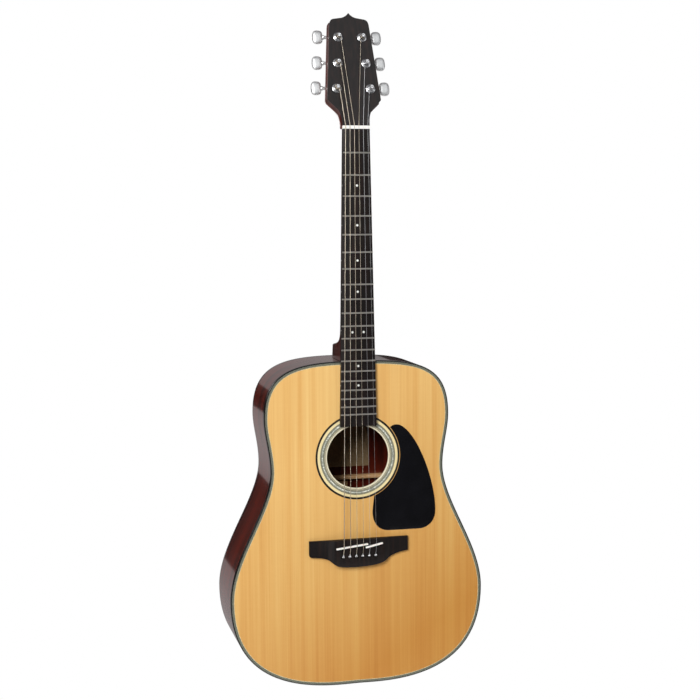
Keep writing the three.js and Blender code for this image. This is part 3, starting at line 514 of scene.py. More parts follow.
# Bare mahogany: duller and paler than the polished outside, with open pores.
block_wood, tree = begin("mahogany_bare_sawn")
place = add(tree, "ShaderNodeTexCoord").outputs["Object"]
drawn_out = add(tree, "ShaderNodeMapping", {}, {"Vector": place, "Scale": (900, 900, 60)})
pores = add(tree, "ShaderNodeTexNoise", {}, {"Vector": drawn_out.outputs[0], "Scale": 1.0, "Detail": 2.0})
shade = add(tree, "ShaderNodeValToRGB",
            {"stops": [(0.32, "4a2a1c"), (0.5, "7a4a33"), (0.7, "8c583e")]}, {"Fac": pores.outputs["Fac"]})
shader = add(tree, "ShaderNodeBsdfPrincipled", {}, {"Base Color": shade.outputs[0], "Roughness": 0.8})
add(tree, "ShaderNodeOutputMaterial", {}, {"Surface": shader.outputs[0]})

lining_path = moved_in(body_edge, 2.52 + LINING_WIDTH / 2)
for side, sign in (("treble", 1), ("bass", -1)):
    spots = [(x, z) for x, z in lining_path if sign * x > 36]
    spots.sort(key=lambda spot: math.atan2(spot[1] + 260, sign * spot[0]) * sign)
    for level in ("top", "back"):
        if level == "top":
            route = [(x, 3.05 + LINING_HEIGHT / 2, z) for x, z in spots]
        else:
            route = [(x, back_depth(z) - 3.05 - LINING_HEIGHT / 2, z) for x, z in spots]
        links = [(i, i + 1) for i in range(len(route) - 1)]
        values = {"Pitch": KERF_PITCH * MM, "Taper": -4 * MM, "Wood": brace_wood,
                  "Block": ((KERF_PITCH - 0.9) * MM, LINING_HEIGHT * MM, LINING_WIDTH * MM)}
        piece = grown(f"{level}_lining_{side}_kerfed", route, links, kerfing, values, body_frame)
        fit(piece, "inner_wood", f"{level}_lining_{side}")


def dressed(material, *names):
    """Puts a material on nodes that keep their CAD shape."""
    for name in names:
        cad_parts[name].data.materials.clear()
        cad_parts[name].data.materials.append(material)


dressed(brace_wood, "x_brace", "transverse_brace", "tone_bar_upper", "tone_bar_lower")
dressed(block_wood, "neck_block", "tail_block")


def gathered(name, shells, place, material, angle=35):
    """One piece from several closed shells."""
    whole_piece = bmesh.new()
    for shell in shells:
        bmesh.ops.recalc_face_normals(shell, faces=shell.faces)
        mesh = bpy.data.meshes.new("shell")
        shell.to_mesh(mesh)
        shell.free()
        whole_piece.from_mesh(mesh)
    return finished(name, whole_piece, place, material, angle)


# The back's braces are rounded on top and die away at their ends. The strip over the back's
# centre joint stops where the label is glued.
BACK_BRACES = (70, 203, 320, 430)
BRACE_LONG = 450
body_width = np.array(moved_in(body_edge, 9.2 + 6.7))
bars = []
for down in BACK_BRACES:
    level = body_width[np.abs(body_width[:, 1] + down) < 6]
    reach = min(float(np.max(np.abs(level[:, 0]))), BRACE_LONG / 2)
    floor_y = back_depth(-down) - 3.02
    sections = []
    for share in (-1, -0.985, -0.85, -0.8, -0.4, 0, 0.4, 0.8, 0.85, 0.985, 1):
        tall = 3.0 + 8.0 * min(max((1 - abs(share)) / 0.18, 0), 1)
        left = [(-3.4, 0), (-3.4, -tall + 2.4), (-2.4, -tall + 0.7)]
        ring = left + [(0, -tall)] + [(-z, y) for z, y in reversed(left)]
        sections.append([(reach * share, floor_y + y - BACK_SLOPE * z, z - down) for z, y in ring])
    bars.append(loft(sections))
for top, low in ((-35, -66), (-74, -110), (-207, -316), (-324, -426), (-434, -490)):
    rounded = ((-9, 0), (-9, 1.2), (-6, 2.2), (6, 2.2), (9, 1.2), (9, 0))
    strip = [[(x, back_depth(z) - 3.02 - lift, z) for x, lift in rounded] for z in (top, low)]
    bars.append(loft(strip))
carved = gathered("back_bracing_carved", bars, body_frame, brace_wood, 40)
fit(carved, "inner_wood", "back_bracing")

# The maker's paper, left blank: aged brown stock glued to the back under the sound hole.
label_paper, tree = begin("paper_aged_plain")
place = add(tree, "ShaderNodeTexCoord").outputs["Object"]
pulp = add(tree, "ShaderNodeTexNoise", {}, {"Vector": place, "Scale": 350.0, "Detail": 5.0})
shade = add(tree, "ShaderNodeValToRGB", {"stops": [(0.3, "867052"), (0.7, "9a8260")]},
            {"Fac": pulp.outputs["Fac"]})
shader = add(tree, "ShaderNodeBsdfPrincipled", {}, {"Base Color": shade.outputs[0], "Roughness": 0.9})
add(tree, "ShaderNodeOutputMaterial", {}, {"Surface": shader.outputs[0]})
corners = np.array([(-46, -186), (45, -186), (45, -116), (-46, -116)], float)
label = plate([(corners, [(0, DEPTH_AT_NECK - 3.2), (0, DEPTH_AT_NECK - 3.02)])], BACK_SLOPE)
fit(finished("blank_label", label, body_frame, label_paper), "inner_wood")


# ---- Fingerboard, frets and dots ----------------------------------------------------------------
# A near-black rosewood board, flat-faced and tapered, glued to the neck and over the soundboard.
# Twenty nickel-silver frets are hammered into slots, and small white dots mark the positions.
SCALE_LENGTH = 644.0
NUT_WIDTH = 42.2
WIDENING = 0.0347
BOARD_LENGTH = 460.0
BOARD_FACE = 1.0
FRET_COUNT = 20
still = Matrix.Identity(4)

# Oiled rosewood: almost black, with brown streaks along the neck and pores 0.3 mm wide and 6 mm
# long that break the light. It's waxed, not lacquered, so it has only a dull sheen.
rosewood, tree = begin("rosewood_oiled")
place = add(tree, "ShaderNodeTexCoord").outputs["Object"]
drawn_out = add(tree, "ShaderNodeMapping", {}, {"Vector": place, "Scale": (240, 240, 9)})
streaks = add(tree, "ShaderNodeTexNoise", {}, {"Vector": drawn_out.outputs[0], "Scale": 1.0, "Detail": 4.0})
drawn_out = add(tree, "ShaderNodeMapping", {}, {"Vector": place, "Scale": (2100, 2100, 150)})
pores = add(tree, "ShaderNodeTexNoise", {}, {"Vector": drawn_out.outputs[0], "Scale": 1.0, "Detail": 1.0})
ground = add(tree, "ShaderNodeValToRGB",
             {"stops": [(0.3, "0a0606"), (0.52, "130c0a"), (0.75, "22140f")]},
             {"Fac": streaks.outputs["Fac"]})
holes = add(tree, "ShaderNodeValToRGB",
            {"stops": [(0.30, "555050"), (0.42, "ffffff")]}, {"Fac": pores.outputs["Fac"]})
shade = add(tree, "ShaderNodeMix", {"data_type": "RGBA", "blend_type": "MULTIPLY"},
            {0: 1.0, 6: ground.outputs[0], 7: holes.outputs[0]})
dents = add(tree, "ShaderNodeBump", {}, {"Height": pores.outputs["Fac"], "Strength": 0.25,
                                         "Distance": 0.0001})
shader = add(tree, "ShaderNodeBsdfPrincipled", {},
             {"Base Color": shade.outputs[2], "Roughness": 0.46, "Specular IOR Level": 0.3,
              "Normal": dents.outputs[0]})
add(tree, "ShaderNodeOutputMaterial", {}, {"Surface": shader.outputs[0]})

# Nickel silver, crowned and polished: a warm grey metal with fine polishing marks along it.
fret_metal, tree = begin("nickel_silver_polished")
place = add(tree, "ShaderNodeTexCoord").outputs["Object"]
drawn_out = add(tree, "ShaderNodeMapping", {}, {"Vector": place, "Scale": (200, 3000, 3000)})
marks = add(tree, "ShaderNodeTexNoise", {}, {"Vector": drawn_out.outputs[0], "Scale": 1.0, "Detail": 2.0})
rough = add(tree, "ShaderNodeMapRange", {}, {"Value": marks.outputs["Fac"], "To Min": 0.2, "To Max": 0.42})
shade = add(tree, "ShaderNodeValToRGB", {"stops": [(0.3, "b3aea6"), (0.7, "d2cec7")]},
            {"Fac": marks.outputs["Fac"]})
shader = add(tree, "ShaderNodeBsdfPrincipled", {},
             {"Base Color": shade.outputs[0], "Roughness": rough.outputs[0], "Metallic": 1.0})
add(tree, "ShaderNodeOutputMaterial", {}, {"Surface": shader.outputs[0]})

# Pearl plastic for the dots, and the same for the white edge marks: bright with a faint cloud.
dot_plastic, tree = begin("acrylic_pearl_white")
place = add(tree, "ShaderNodeTexCoord").outputs["Object"]
cloud = add(tree, "ShaderNodeTexNoise", {}, {"Vector": place, "Scale": 900.0, "Detail": 2.0})
shade = add(tree, "ShaderNodeValToRGB", {"stops": [(0.3, "dfe0dc"), (0.7, "fbfbf7")]},
            {"Fac": cloud.outputs["Fac"]})
shader = add(tree, "ShaderNodeBsdfPrincipled", {}, {"Base Color": shade.outputs[0], "Roughness": 0.25})
add(tree, "ShaderNodeOutputMaterial", {}, {"Surface": shader.outputs[0]})


def board_half(down):
    """Half the fingerboard's width at a distance from the nut, in mm."""
    return (NUT_WIDTH + WIDENING * down) / 2


def fret_place(number):
    """A fret's distance from the nut: each is the twelfth root of two nearer to the saddle."""
    return SCALE_LENGTH * (1 - 2 ** (-number / 12))


def soundboard_behind(down):
    """How far the soundboard's face lies behind the fret tops, at a distance from the nut."""
    return BOARD_BEHIND + (down - JOINT_DOWN) * math.tan(BODY_TILT)


sections = []
for down in (0.0, 0.25, 60, 120, 180, 240, 300, JOINT_DOWN, 400, 440, BOARD_LENGTH - 0.25, BOARD_LENGTH):
    half = board_half(down) - (0.25 if down in (0.0, BOARD_LENGTH) else 0)
    under = BOARD_BEHIND - 0.02 if down <= JOINT_DOWN else soundboard_behind(down) - 0.02
    sections.append([(-half + 0.4, BOARD_FACE, -down), (half - 0.4, BOARD_FACE, -down),
                     (half - 0.1, BOARD_FACE + 0.12, -down), (half, BOARD_FACE + 0.45, -down),
                     (half, under, -down), (-half, under, -down),
                     (-half, BOARD_FACE + 0.45, -down), (-half + 0.1, BOARD_FACE + 0.12, -down)])
fit(finished("fingerboard_plain", loft(sections), still, rosewood, 25), "rosewood", "fingerboard")

fretting, inputs = begin_tree("fret_row", [
    ("Count", "Int"), ("Scale length", "Float"), ("Nut width", "Float"), ("Widening", "Float"),
    ("Crown width", "Float"), ("Crown height", "Float"), ("Depth", "Float"), ("Metal", "Material")])
row = add(fretting, "GeometryNodePoints", {}, {"Count": inputs["Count"]})
number = add(fretting, "ShaderNodeMath", {"operation": "ADD"},
             {0: add(fretting, "GeometryNodeInputIndex").outputs[0], 1: 1.0})
power = add(fretting, "ShaderNodeMath", {"operation": "DIVIDE"}, {0: number.outputs[0], 1: -12.0})
power = add(fretting, "ShaderNodeMath", {"operation": "POWER"}, {0: 2.0, 1: power.outputs[0]})
down = add(fretting, "ShaderNodeMath", {"operation": "SUBTRACT"}, {0: 1.0, 1: power.outputs[0]})
down = add(fretting, "ShaderNodeMath", {"operation": "MULTIPLY"},
           {0: down.outputs[0], 1: inputs["Scale length"]})
below = add(fretting, "ShaderNodeMath", {"operation": "MULTIPLY"}, {0: down.outputs[0], 1: -1.0})
spot = add(fretting, "ShaderNodeCombineXYZ", {}, {"Y": inputs["Depth"], "Z": below.outputs[0]})
row = add(fretting, "GeometryNodeSetPosition", {}, {"Geometry": row.outputs[0], "Position": spot.outputs[0]})
width = add(fretting, "ShaderNodeMath", {"operation": "MULTIPLY_ADD"},
            {0: down.outputs[0], 1: inputs["Widening"], 2: inputs["Nut width"]})
size = add(fretting, "ShaderNodeCombineXYZ", {},
           {"X": width.outputs[0], "Y": inputs["Crown height"], "Z": inputs["Crown width"]})
wire = add(fretting, "GeometryNodeMeshCylinder", {}, {"Vertices": 20, "Radius": 0.5, "Depth": 1.0})
wire = add(fretting, "GeometryNodeTransform", {},
           {"Geometry": wire.outputs["Mesh"], "Rotation": (0, math.pi / 2, 0)})
bars = add(fretting, "GeometryNodeInstanceOnPoints", {},
           {"Points": row.outputs[0], "Instance": wire.outputs[0], "Scale": size.outputs[0]})
bars = add(fretting, "GeometryNodeRealizeInstances", {}, {0: bars.outputs[0]})
bars = add(fretting, "GeometryNodeSetMaterial", {},
           {"Geometry": bars.outputs[0], "Material": inputs["Metal"]})
add(fretting, "NodeGroupOutput", {}, {0: bars.outputs[0]})
frets = grown("fret_wires", [(0, 0, 0)], [], fretting, {
    "Count": FRET_COUNT, "Scale length": SCALE_LENGTH * MM, "Nut width": (NUT_WIDTH - 0.1) * MM,
    "Widening": WIDENING, "Crown width": 2.4 * MM, "Crown height": 2.0 * MM, "Depth": BOARD_FACE * MM,
    "Metal": fret_metal}, still)
frets.data.polygons.foreach_set("use_smooth", [True] * len(frets.data.polygons))
frets.data.set_sharp_from_angle(angle=math.radians(40))
fit(frets, "steel")

dotting, inputs = begin_tree("inlaid_dots", [("Radius", "Float"), ("Depth", "Float"), ("Turn", "Vector"),
                                             ("Plastic", "Material")])
disc = add(dotting, "GeometryNodeMeshCylinder", {},
           {"Vertices": 28, "Radius": inputs["Radius"], "Depth": inputs["Depth"]})
disc = add(dotting, "GeometryNodeTransform", {},
           {"Geometry": disc.outputs["Mesh"], "Rotation": inputs["Turn"]})
discs = add(dotting, "GeometryNodeInstanceOnPoints", {},
            {"Points": inputs["Geometry"], "Instance": disc.outputs[0]})
discs = add(dotting, "GeometryNodeRealizeInstances", {}, {0: discs.outputs[0]})
discs = add(dotting, "GeometryNodeSetMaterial", {},
            {"Geometry": discs.outputs[0], "Material": inputs["Plastic"]})
add(dotting, "NodeGroupOutput", {}, {0: discs.outputs[0]})
middles = {n: -(fret_place(n) + fret_place(n - 1)) / 2 for n in (3, 5, 7, 9, 12, 15, 17)}
spots = [(x, BOARD_FACE + 0.45, z) for n, z in middles.items() for x in ((-9, 9) if n == 12 else (0,))]
fit(grown("face_dots", spots, [], dotting, {
    "Radius": 1.8 * MM, "Depth": 1.0 * MM, "Turn": (math.pi / 2, 0, 0), "Plastic": dot_plastic}, still),
    "white_plastic")
spots = [(-board_half(-z) + 0.4, 4.0, z + shift) for n, z in middles.items()
         for shift in ((-3, 3) if n == 12 else (0,))]
fit(grown("edge_dots", spots, [], dotting, {
    "Radius": 1.0 * MM, "Depth": 0.9 * MM, "Turn": (0, math.pi / 2, 0), "Plastic": dot_plastic}, still),
    "white_plastic")


# ---- Neck and head ------------------------------------------------------------------------------
# One length of mahogany, carved to a shallow oval behind the board and swept down to a heel that
# meets the body. The head is cut from the same wood, tipped back 14.6 degrees.
HEAD_THICKNESS = 15.0
CAP_THICKNESS = 1.6
NECK_STATIONS = [  # height, depth of wood behind the board, squareness of the curve
    (-358.5, 108, 2.6), (-338, 104, 2.6), (-334, 76, 2.6), (-330, 54, 2.5), (-325, 38.5, 2.4),
    (-319, 28, 2.3), (-310, 20.8, 2.3), (-298, 17.7, 2.3), (-200, 16.3, 2.3), (-40, 14.8, 2.3),
    (0, 14.3, 2.3), (14, 11.6, 2.3),
]
POSTS = [(64.4, -26.7), (105.3, -22.5), (147.4, -19.1), (147.4, 19.1), (105.3, 22.5), (64.4, 26.7)]
HEAD_TILT = math.radians(-14.6)
head_frame = Matrix.Translation((0, 0.72 * MM, 0)) @ Matrix.Rotation(HEAD_TILT, 4, "X")


def neck_loft(top):
    """The neck's shaft and heel up to a height, as a loft of half ovals."""
    heights, depths, squares = [np.array(column) for column in zip(*NECK_STATIONS)]
    fine = np.unique(np.concatenate([np.linspace(-357.2, -339, 5), np.linspace(-338, -296, 43),
                                     np.linspace(-290, 0, 16), np.linspace(2, top, 5)]))
    slopes = np.gradient(depths, heights)
    sections = []
    for z in fine:
        i = min(max(int(np.searchsorted(heights, z)) - 1, 0), len(heights) - 2)
        gap = heights[i + 1] - heights[i]
        t = (z - heights[i]) / gap
        straight = depths[i] + (depths[i + 1] - depths[i]) * t
        bend = (2 * t ** 3 - 3 * t ** 2 + 1) * depths[i] + (t ** 3 - 2 * t ** 2 + t) * gap * slopes[i] \
            + (3 * t ** 2 - 2 * t ** 3) * depths[i + 1] + (t ** 3 - t ** 2) * gap * slopes[i + 1]
        deep = min(max(bend, min(depths[i], depths[i + 1])), max(depths[i], depths[i + 1]))
        deep = deep if i else straight
        square = np.interp(z, heights, squares)
        section = []
        for angle in np.linspace(0, math.pi, 33):
            x, y = math.cos(angle), math.sin(angle)
            section.append((math.copysign(abs(x) ** (2 / square), x) * board_half(-z),
                            7 + deep * max(y, 0) ** (2 / square), z))
        sections.append(section)
    return loft(sections)


def cut(bm, frame_of, point, normal):
    """Cuts away what lies beyond a plane, given in a frame in mm, and closes the cut."""
    spot = frame_of @ (Vector(point) * MM)
    facing = frame_of.to_3x3() @ Vector(normal)
    parts = bm.verts[:] + bm.edges[:] + bm.faces[:]
    done = bmesh.ops.bisect_plane(bm, geom=parts, plane_co=spot, plane_no=facing, clear_outer=True)
    rim = [e for e in done["geom_cut"] if isinstance(e, bmesh.types.BMEdge)]
    bmesh.ops.triangle_fill(bm, use_beauty=True, edges=rim)
    return bm


def head_half():
    """Half of the head's outline, from the nut round the shoulder to the point, in mm."""
    curves = [((0, 5.6), (7, 5.6), (14, 5.6), (20.9, 5.6)),
              ((20.9, 5.6), (21.4, 24), (24.5, 29.5), (31, 35.6)),
              ((31, 35.6), (34.3, 38.8), (37.6, 42), (41, 45.2)),
              ((41, 45.2), (41.8, 46.1), (42.1, 47.2), (41.9, 48.4)),
              ((41.9, 48.4), (38.3, 87.9), (34.8, 127.5), (31.2, 167)),
              ((31.2, 167), (30.6, 172.6), (28.7, 175.8), (24.5, 176.6)),
              ((24.5, 176.6), (20.3, 177.3), (16.2, 177.9), (12, 178.6)),
              ((12, 178.6), (7.1, 179.7), (3.1, 182.3), (0, 186.6))]
    steps = (2, 10, 5, 4, 12, 8, 4, 10)
    return np.vstack([bezier(curve, n)[min(i, 1):] for i, (curve, n) in enumerate(zip(curves, steps))])


# The neck's mahogany runs lengthways and has a satin feel under thin lacquer.
neck_wood, tree = begin("mahogany_neck_stained")
place = add(tree, "ShaderNodeTexCoord").outputs["Object"]
drawn_out = add(tree, "ShaderNodeMapping", {}, {"Vector": place, "Scale": (120, 120, 5)})
ribbon = add(tree, "ShaderNodeTexNoise", {}, {"Vector": drawn_out.outputs[0], "Scale": 1.0, "Detail": 3.0})
drawn_out = add(tree, "ShaderNodeMapping", {}, {"Vector": place, "Scale": (1700, 1700, 110)})
pores = add(tree, "ShaderNodeTexNoise", {}, {"Vector": drawn_out.outputs[0], "Scale": 1.0, "Detail": 1.0})
ground = add(tree, "ShaderNodeValToRGB",
             {"stops": [(0.3, "2a0e09"), (0.5, "47170d"), (0.72, "5c2013")]}, {"Fac": ribbon.outputs["Fac"]})
holes = add(tree, "ShaderNodeValToRGB",
            {"stops": [(0.30, "6a5a56"), (0.42, "ffffff")]}, {"Fac": pores.outputs["Fac"]})
shade = add(tree, "ShaderNodeMix", {"data_type": "RGBA", "blend_type": "MULTIPLY"},
            {0: 1.0, 6: ground.outputs[0], 7: holes.outputs[0]})
shader = add(tree, "ShaderNodeBsdfPrincipled", {},
             {"Base Color": shade.outputs[2], "Roughness": 0.38, "Coat Weight": 0.6, "Coat Roughness": 0.1})
add(tree, "ShaderNodeOutputMaterial", {}, {"Surface": shader.outputs[0]})


def joined(piece, other, operation, angle=30):
    """A piece with another joined to it or cut from it; the other is used up."""
    modifier = piece.modifiers.new("joint", "BOOLEAN")
    modifier.operation = operation
    modifier.solver = "EXACT"
    modifier.object = other
    graph = bpy.context.evaluated_depsgraph_get()
    result = bpy.data.meshes.new_from_object(piece.evaluated_get(graph), depsgraph=graph)
    piece.modifiers.clear()
    piece.data = result
    bpy.data.objects.remove(other)
    result.polygons.foreach_set("use_smooth", [True] * len(result.polygons))
    result.set_sharp_from_angle(angle=math.radians(angle))
    return piece


def bored(radius):
    """Holes for the six tuning machines, as clockwise outlines."""
    return [circle(x, z, radius, 32)[::-1] for z, x in POSTS]


head_edge = whole(head_half())
slab = [(0, CAP_THICKNESS + 0.02), (0, 13.6), (0.4, 14.6), (1.4, HEAD_THICKNESS)]
straight = [(0, CAP_THICKNESS + 0.02), (0, HEAD_THICKNESS)]
head = plate([(head_edge, slab)] + [(ring, straight) for ring in bored(5.2)])
shaft = neck_loft(14)
cut(shaft, body_frame, (0, 0, 0.3), (0, 0, -1))
slope = math.atan(BACK_SLOPE)
cut(shaft, body_frame, (0, DEPTH_AT_NECK - 3.1, 0), (0, math.cos(slope), math.sin(slope)))
neck = joined(finished("neck_carved", shaft, still, neck_wood, 50),
              finished("head_blank", head, head_frame, neck_wood), "UNION")
fit(neck, "mahogany", "neck")

cap = neck_loft(14)
cut(cap, body_frame, (0, 0, 0.3), (0, 0, -1))
cut(cap, body_frame, (0, DEPTH_AT_NECK - 3.0, 0), (0, -math.cos(slope), -math.sin(slope)))
cut(cap, body_frame, (0, DEPTH_AT_NECK, 0), (0, math.cos(slope), math.sin(slope)))
fit(finished("heel_cap_sheet", cap, still, black_binding), "black_plastic", "heel_cap")

# The head's face is a veneer of the same dark wood as the board, lacquered to a low gloss.
veneer, tree = begin("rosewood_veneer_lacquered")
place = add(tree, "ShaderNodeTexCoord").outputs["Object"]
drawn_out = add(tree, "ShaderNodeMapping", {}, {"Vector": place, "Scale": (210, 210, 8)})
streaks = add(tree, "ShaderNodeTexNoise", {}, {"Vector": drawn_out.outputs[0], "Scale": 1.0, "Detail": 4.0})
shade = add(tree, "ShaderNodeValToRGB",
            {"stops": [(0.3, "0c0909"), (0.5, "150f0e"), (0.75, "221613")]}, {"Fac": streaks.outputs["Fac"]})
dents = add(tree, "ShaderNodeBump", {}, {"Height": streaks.outputs["Fac"], "Strength": 0.1,
                                         "Distance": 0.0001})
shader = add(tree, "ShaderNodeBsdfPrincipled", {},
             {"Base Color": shade.outputs[0], "Roughness": 0.4, "Specular IOR Level": 0.35,
              "Coat Weight": 0.15, "Coat Roughness": 0.2, "Normal": dents.outputs[0]})
add(tree, "ShaderNodeOutputMaterial", {}, {"Surface": shader.outputs[0]})
face = [(0.45, 0), (0.1, 0.15), (0, 0.5), (0, CAP_THICKNESS)]
cap = plate([(head_edge, face)] + [(ring, [(0, 0), (0, CAP_THICKNESS)]) for ring in bored(5.2)])
fit(finished("head_veneer", cap, head_frame, veneer), "rosewood", "head_cap")


# ---- Nut and saddles ----------------------------------------------------------------------------
# Cast white synthetic bone, polished. The nut is slotted for each string, and the two saddle bars
# stand slanted in the bridge so that thick strings are a little longer than thin ones.
STRING_RADII = [0.67, 0.53, 0.41, 0.31, 0.21, 0.16]  # from the bass side
NUT_SPREAD = 35.2
SADDLE_SPREAD = 52.4
SADDLES = {"long": ((-38, 295.2), (13.2, 289.5)), "short": ((9.5, 295.2), (37.2, 289.3))}
SADDLE_WIDTH = 2.6

bone, tree = begin("synthetic_bone_polished")
place = add(tree, "ShaderNodeTexCoord").outputs["Object"]
cloud = add(tree, "ShaderNodeTexNoise", {}, {"Vector": place, "Scale": 400.0, "Detail": 4.0})
shade = add(tree, "ShaderNodeValToRGB", {"stops": [(0.3, "e9e6dc"), (0.7, "faf9f4")]},
            {"Fac": cloud.outputs["Fac"]})
rough = add(tree, "ShaderNodeMapRange", {}, {"Value": cloud.outputs["Fac"], "To Min": 0.25, "To Max": 0.4})
shader = add(tree, "ShaderNodeBsdfPrincipled", {},
             {"Base Color": shade.outputs[0], "Roughness": rough.outputs[0], "Subsurface Weight": 0.08,
              "Subsurface Scale": 0.001})
add(tree, "ShaderNodeOutputMaterial", {}, {"Surface": shader.outputs[0]})


def across(index, spread):
    """A string's place across the neck, from the bass side, in mm."""
    return -spread / 2 + spread * index / (len(STRING_RADII) - 1)


skyline = [(-NUT_WIDTH / 2, 6.95), (-NUT_WIDTH / 2, -0.5), (-NUT_WIDTH / 2 + 0.3, -0.9)]
for index, gauge in enumerate(STRING_RADII):
    x = across(index, NUT_SPREAD)
    slot_half = gauge + 0.1
    skyline += [(x - slot_half - 0.15, -0.95), (x - slot_half, -0.8), (x - slot_half * 0.7, -0.42),
                (x, -0.36), (x + slot_half * 0.7, -0.42), (x + slot_half, -0.8),
                (x + slot_half + 0.15, -0.95)]
skyline += [(NUT_WIDTH / 2 - 0.3, -0.9), (NUT_WIDTH / 2, -0.5), (NUT_WIDTH / 2, 6.95)]
sections = [[(x * shrink, max(y, drop) if y < 3 else y, z) for x, y in skyline]
            for z, shrink, drop in ((0.02, 0.995, -0.7), (0.3, 1, -9), (4.6, 1, -9), (5, 0.995, -0.5))]
fit(finished("nut_slotted", loft(sections), still, bone, 40), "white_plastic", "nut")

for name, ((x0, d0), (x1, d1)) in SADDLES.items():
    long_way = Vector((x1 - x0, 0, d0 - d1)).normalized()
    side_way = Vector((-long_way.z, 0, long_way.x))
    sections = []
    for share, slim in ((0, 0.6), (0.012, 0.9), (0.03, 1), (0.25, 1), (0.5, 1), (0.75, 1), (0.97, 1),
                        (0.988, 0.9),
                        (1, 0.6)):
        centre = Vector((x0 + (x1 - x0) * share, 0, -(d0 + (d1 - d0) * share)))
        section = []
        for i in range(9):
            angle = math.pi * i / 8
            across_bar = side_way * (math.cos(angle) * SADDLE_WIDTH / 2 * slim)
            section.append(centre + across_bar + Vector((0, -11.5 - math.sin(angle) * 1.2 * slim, 0)))
        section = [centre + side_way * (SADDLE_WIDTH / 2 * slim) + Vector((0, -4, 0))] + section
        section += [centre - side_way * (SADDLE_WIDTH / 2 * slim) + Vector((0, -4, 0))]
        sections.append(section)
    fit(finished(f"saddle_{name}_bar", loft(sections), body_frame, bone, 50), "white_plastic",
        f"saddle_{name}")


# ---- Bridge -------------------------------------------------------------------------------------
# Rosewood, glued to the soundboard. Its wings are ramped down, and at the tail it has six keyhole
# pockets: each string's ball drops into a pocket and its wire runs up the slot to the saddle.
BRIDGE_TOP = 281.8
BRIDGE_HEIGHT = 9.0
WING_HEIGHT = 4.6
POCKET_DOWN = 309.0
POCKET_RADIUS = 2.6

curves = [((80, -304.4), (70, -306), (61, -307), (52, -312)),
          ((52, -312), (44, -317), (41, -320.5), (31, -322.8)),
          ((31, -322.8), (16, -326.6), (-16, -327), (-31, -324.4)),
          ((-31, -324.4), (-41, -322.6), (-44, -314.5), (-53, -311.4)),
          ((-53, -311.4), (-61, -308.6), (-68, -308.2), (-76.5, -307.4)),
          ((-76.5, -307.4), (-78.7, -307.1), (-79.9, -305.9), (-80, -303.6))]
lower = np.vstack([bezier(curve, 12)[min(i, 1):] for i, curve in enumerate(curves)])
bridge_edge = np.vstack([[(-80, -290), (-80, -BRIDGE_TOP), (-40, -BRIDGE_TOP), (0, -BRIDGE_TOP),
                          (40, -BRIDGE_TOP), (80, -BRIDGE_TOP), (80, -290)], lower])[::-1]
bridge = finished("bridge_slotted", plate([(bridge_edge, [
    (0.9, -BRIDGE_HEIGHT), (0.3, -BRIDGE_HEIGHT + 0.25), (0, -BRIDGE_HEIGHT + 0.8), (0, -0.02)])]),
    body_frame, rosewood)

for side in (-1, 1):
    ramp = [(41.4, -20), (41.4, -BRIDGE_HEIGHT), (50, -WING_HEIGHT), (95, -WING_HEIGHT), (95, -20)]
    sections = [[(side * x, y, z) for x, y in ramp] for z in (-270, -340)]
    bridge = joined(bridge, finished("ramp_cutter", loft(sections), body_frame, rosewood), "DIFFERENCE")
cutter = bmesh.new()
for index in range(len(STRING_RADII)):
    x = across(index, SADDLE_SPREAD)
    keyhole = [(x + POCKET_RADIUS * math.cos(a), -POCKET_DOWN + POCKET_RADIUS * math.sin(a))
               for a in np.radians(np.linspace(117, 423, 25))]
    keyhole += [(x + 1.2, -POCKET_DOWN + 7.4), (x - 1.2, -POCKET_DOWN + 7.4)]
    piece = plate([(np.array(keyhole, float), [(0, -30), (0, -4.5)])])
    bmesh.ops.recalc_face_normals(piece, faces=piece.faces)
    mesh = bpy.data.meshes.new("keyhole")
    piece.to_mesh(mesh)
    piece.free()
    cutter.from_mesh(mesh)
bridge = joined(bridge, finished("keyhole_cutter", cutter, body_frame, rosewood), "DIFFERENCE")
for ((x0, d0), (x1, d1)) in SADDLES.values():
    middle = Vector(((x0 + x1) / 2, 0, -(d0 + d1) / 2))
    long_way = Vector((x1 - x0, 0, d0 - d1))
    half = long_way * 0.5 + long_way.normalized() * 0.15
    side_way = Vector((-long_way.z, 0, long_way.x)).normalized() * (SADDLE_WIDTH / 2 + 0.05)
    ring = [middle + a * half + b * side_way for a, b in ((-1, -1), (1, -1), (1, 1), (-1, 1))]
    sections = [[corner + Vector((0, y, 0)) for corner in ring] for y in (-30, -3.9)]
    bridge = joined(bridge, finished("groove_cutter", loft(sections), body_frame, rosewood), "DIFFERENCE")
softened = bridge.modifiers.new("eased", "BEVEL")
softened.width = 0.25 * MM
softened.segments = 2
softened.limit_method = "ANGLE"
softened.angle_limit = math.radians(40)
fit(bridge, "rosewood", "bridge")
dressed(rosewood, "bridge_plate")


# ---- Pickguard ----------------------------------------------------------------------------------
# A sheet of glossy black plastic 0.8 mm thick, with its edge bevelled, stuck on beside the hole
# where the pick would scratch the spruce. It follows the rosette's outer ring.
guard_plastic, tree = begin("vinyl_sheet_black_gloss")
place = add(tree, "ShaderNodeTexCoord").outputs["Object"]
haze = add(tree, "ShaderNodeTexNoise", {}, {"Vector": place, "Scale": 45.0, "Detail": 4.0})
shade = add(tree, "ShaderNodeValToRGB", {"stops": [(0.3, "08080a"), (0.7, "0d0d10")]},
            {"Fac": haze.outputs["Fac"]})
rough = add(tree, "ShaderNodeMapRange", {}, {"Value": haze.outputs["Fac"], "To Min": 0.08, "To Max": 0.2})
shader = add(tree, "ShaderNodeBsdfPrincipled", {},
             {"Base Color": shade.outputs[0], "Roughness": rough.outputs[0]})
add(tree, "ShaderNodeOutputMaterial", {}, {"Surface": shader.outputs[0]})

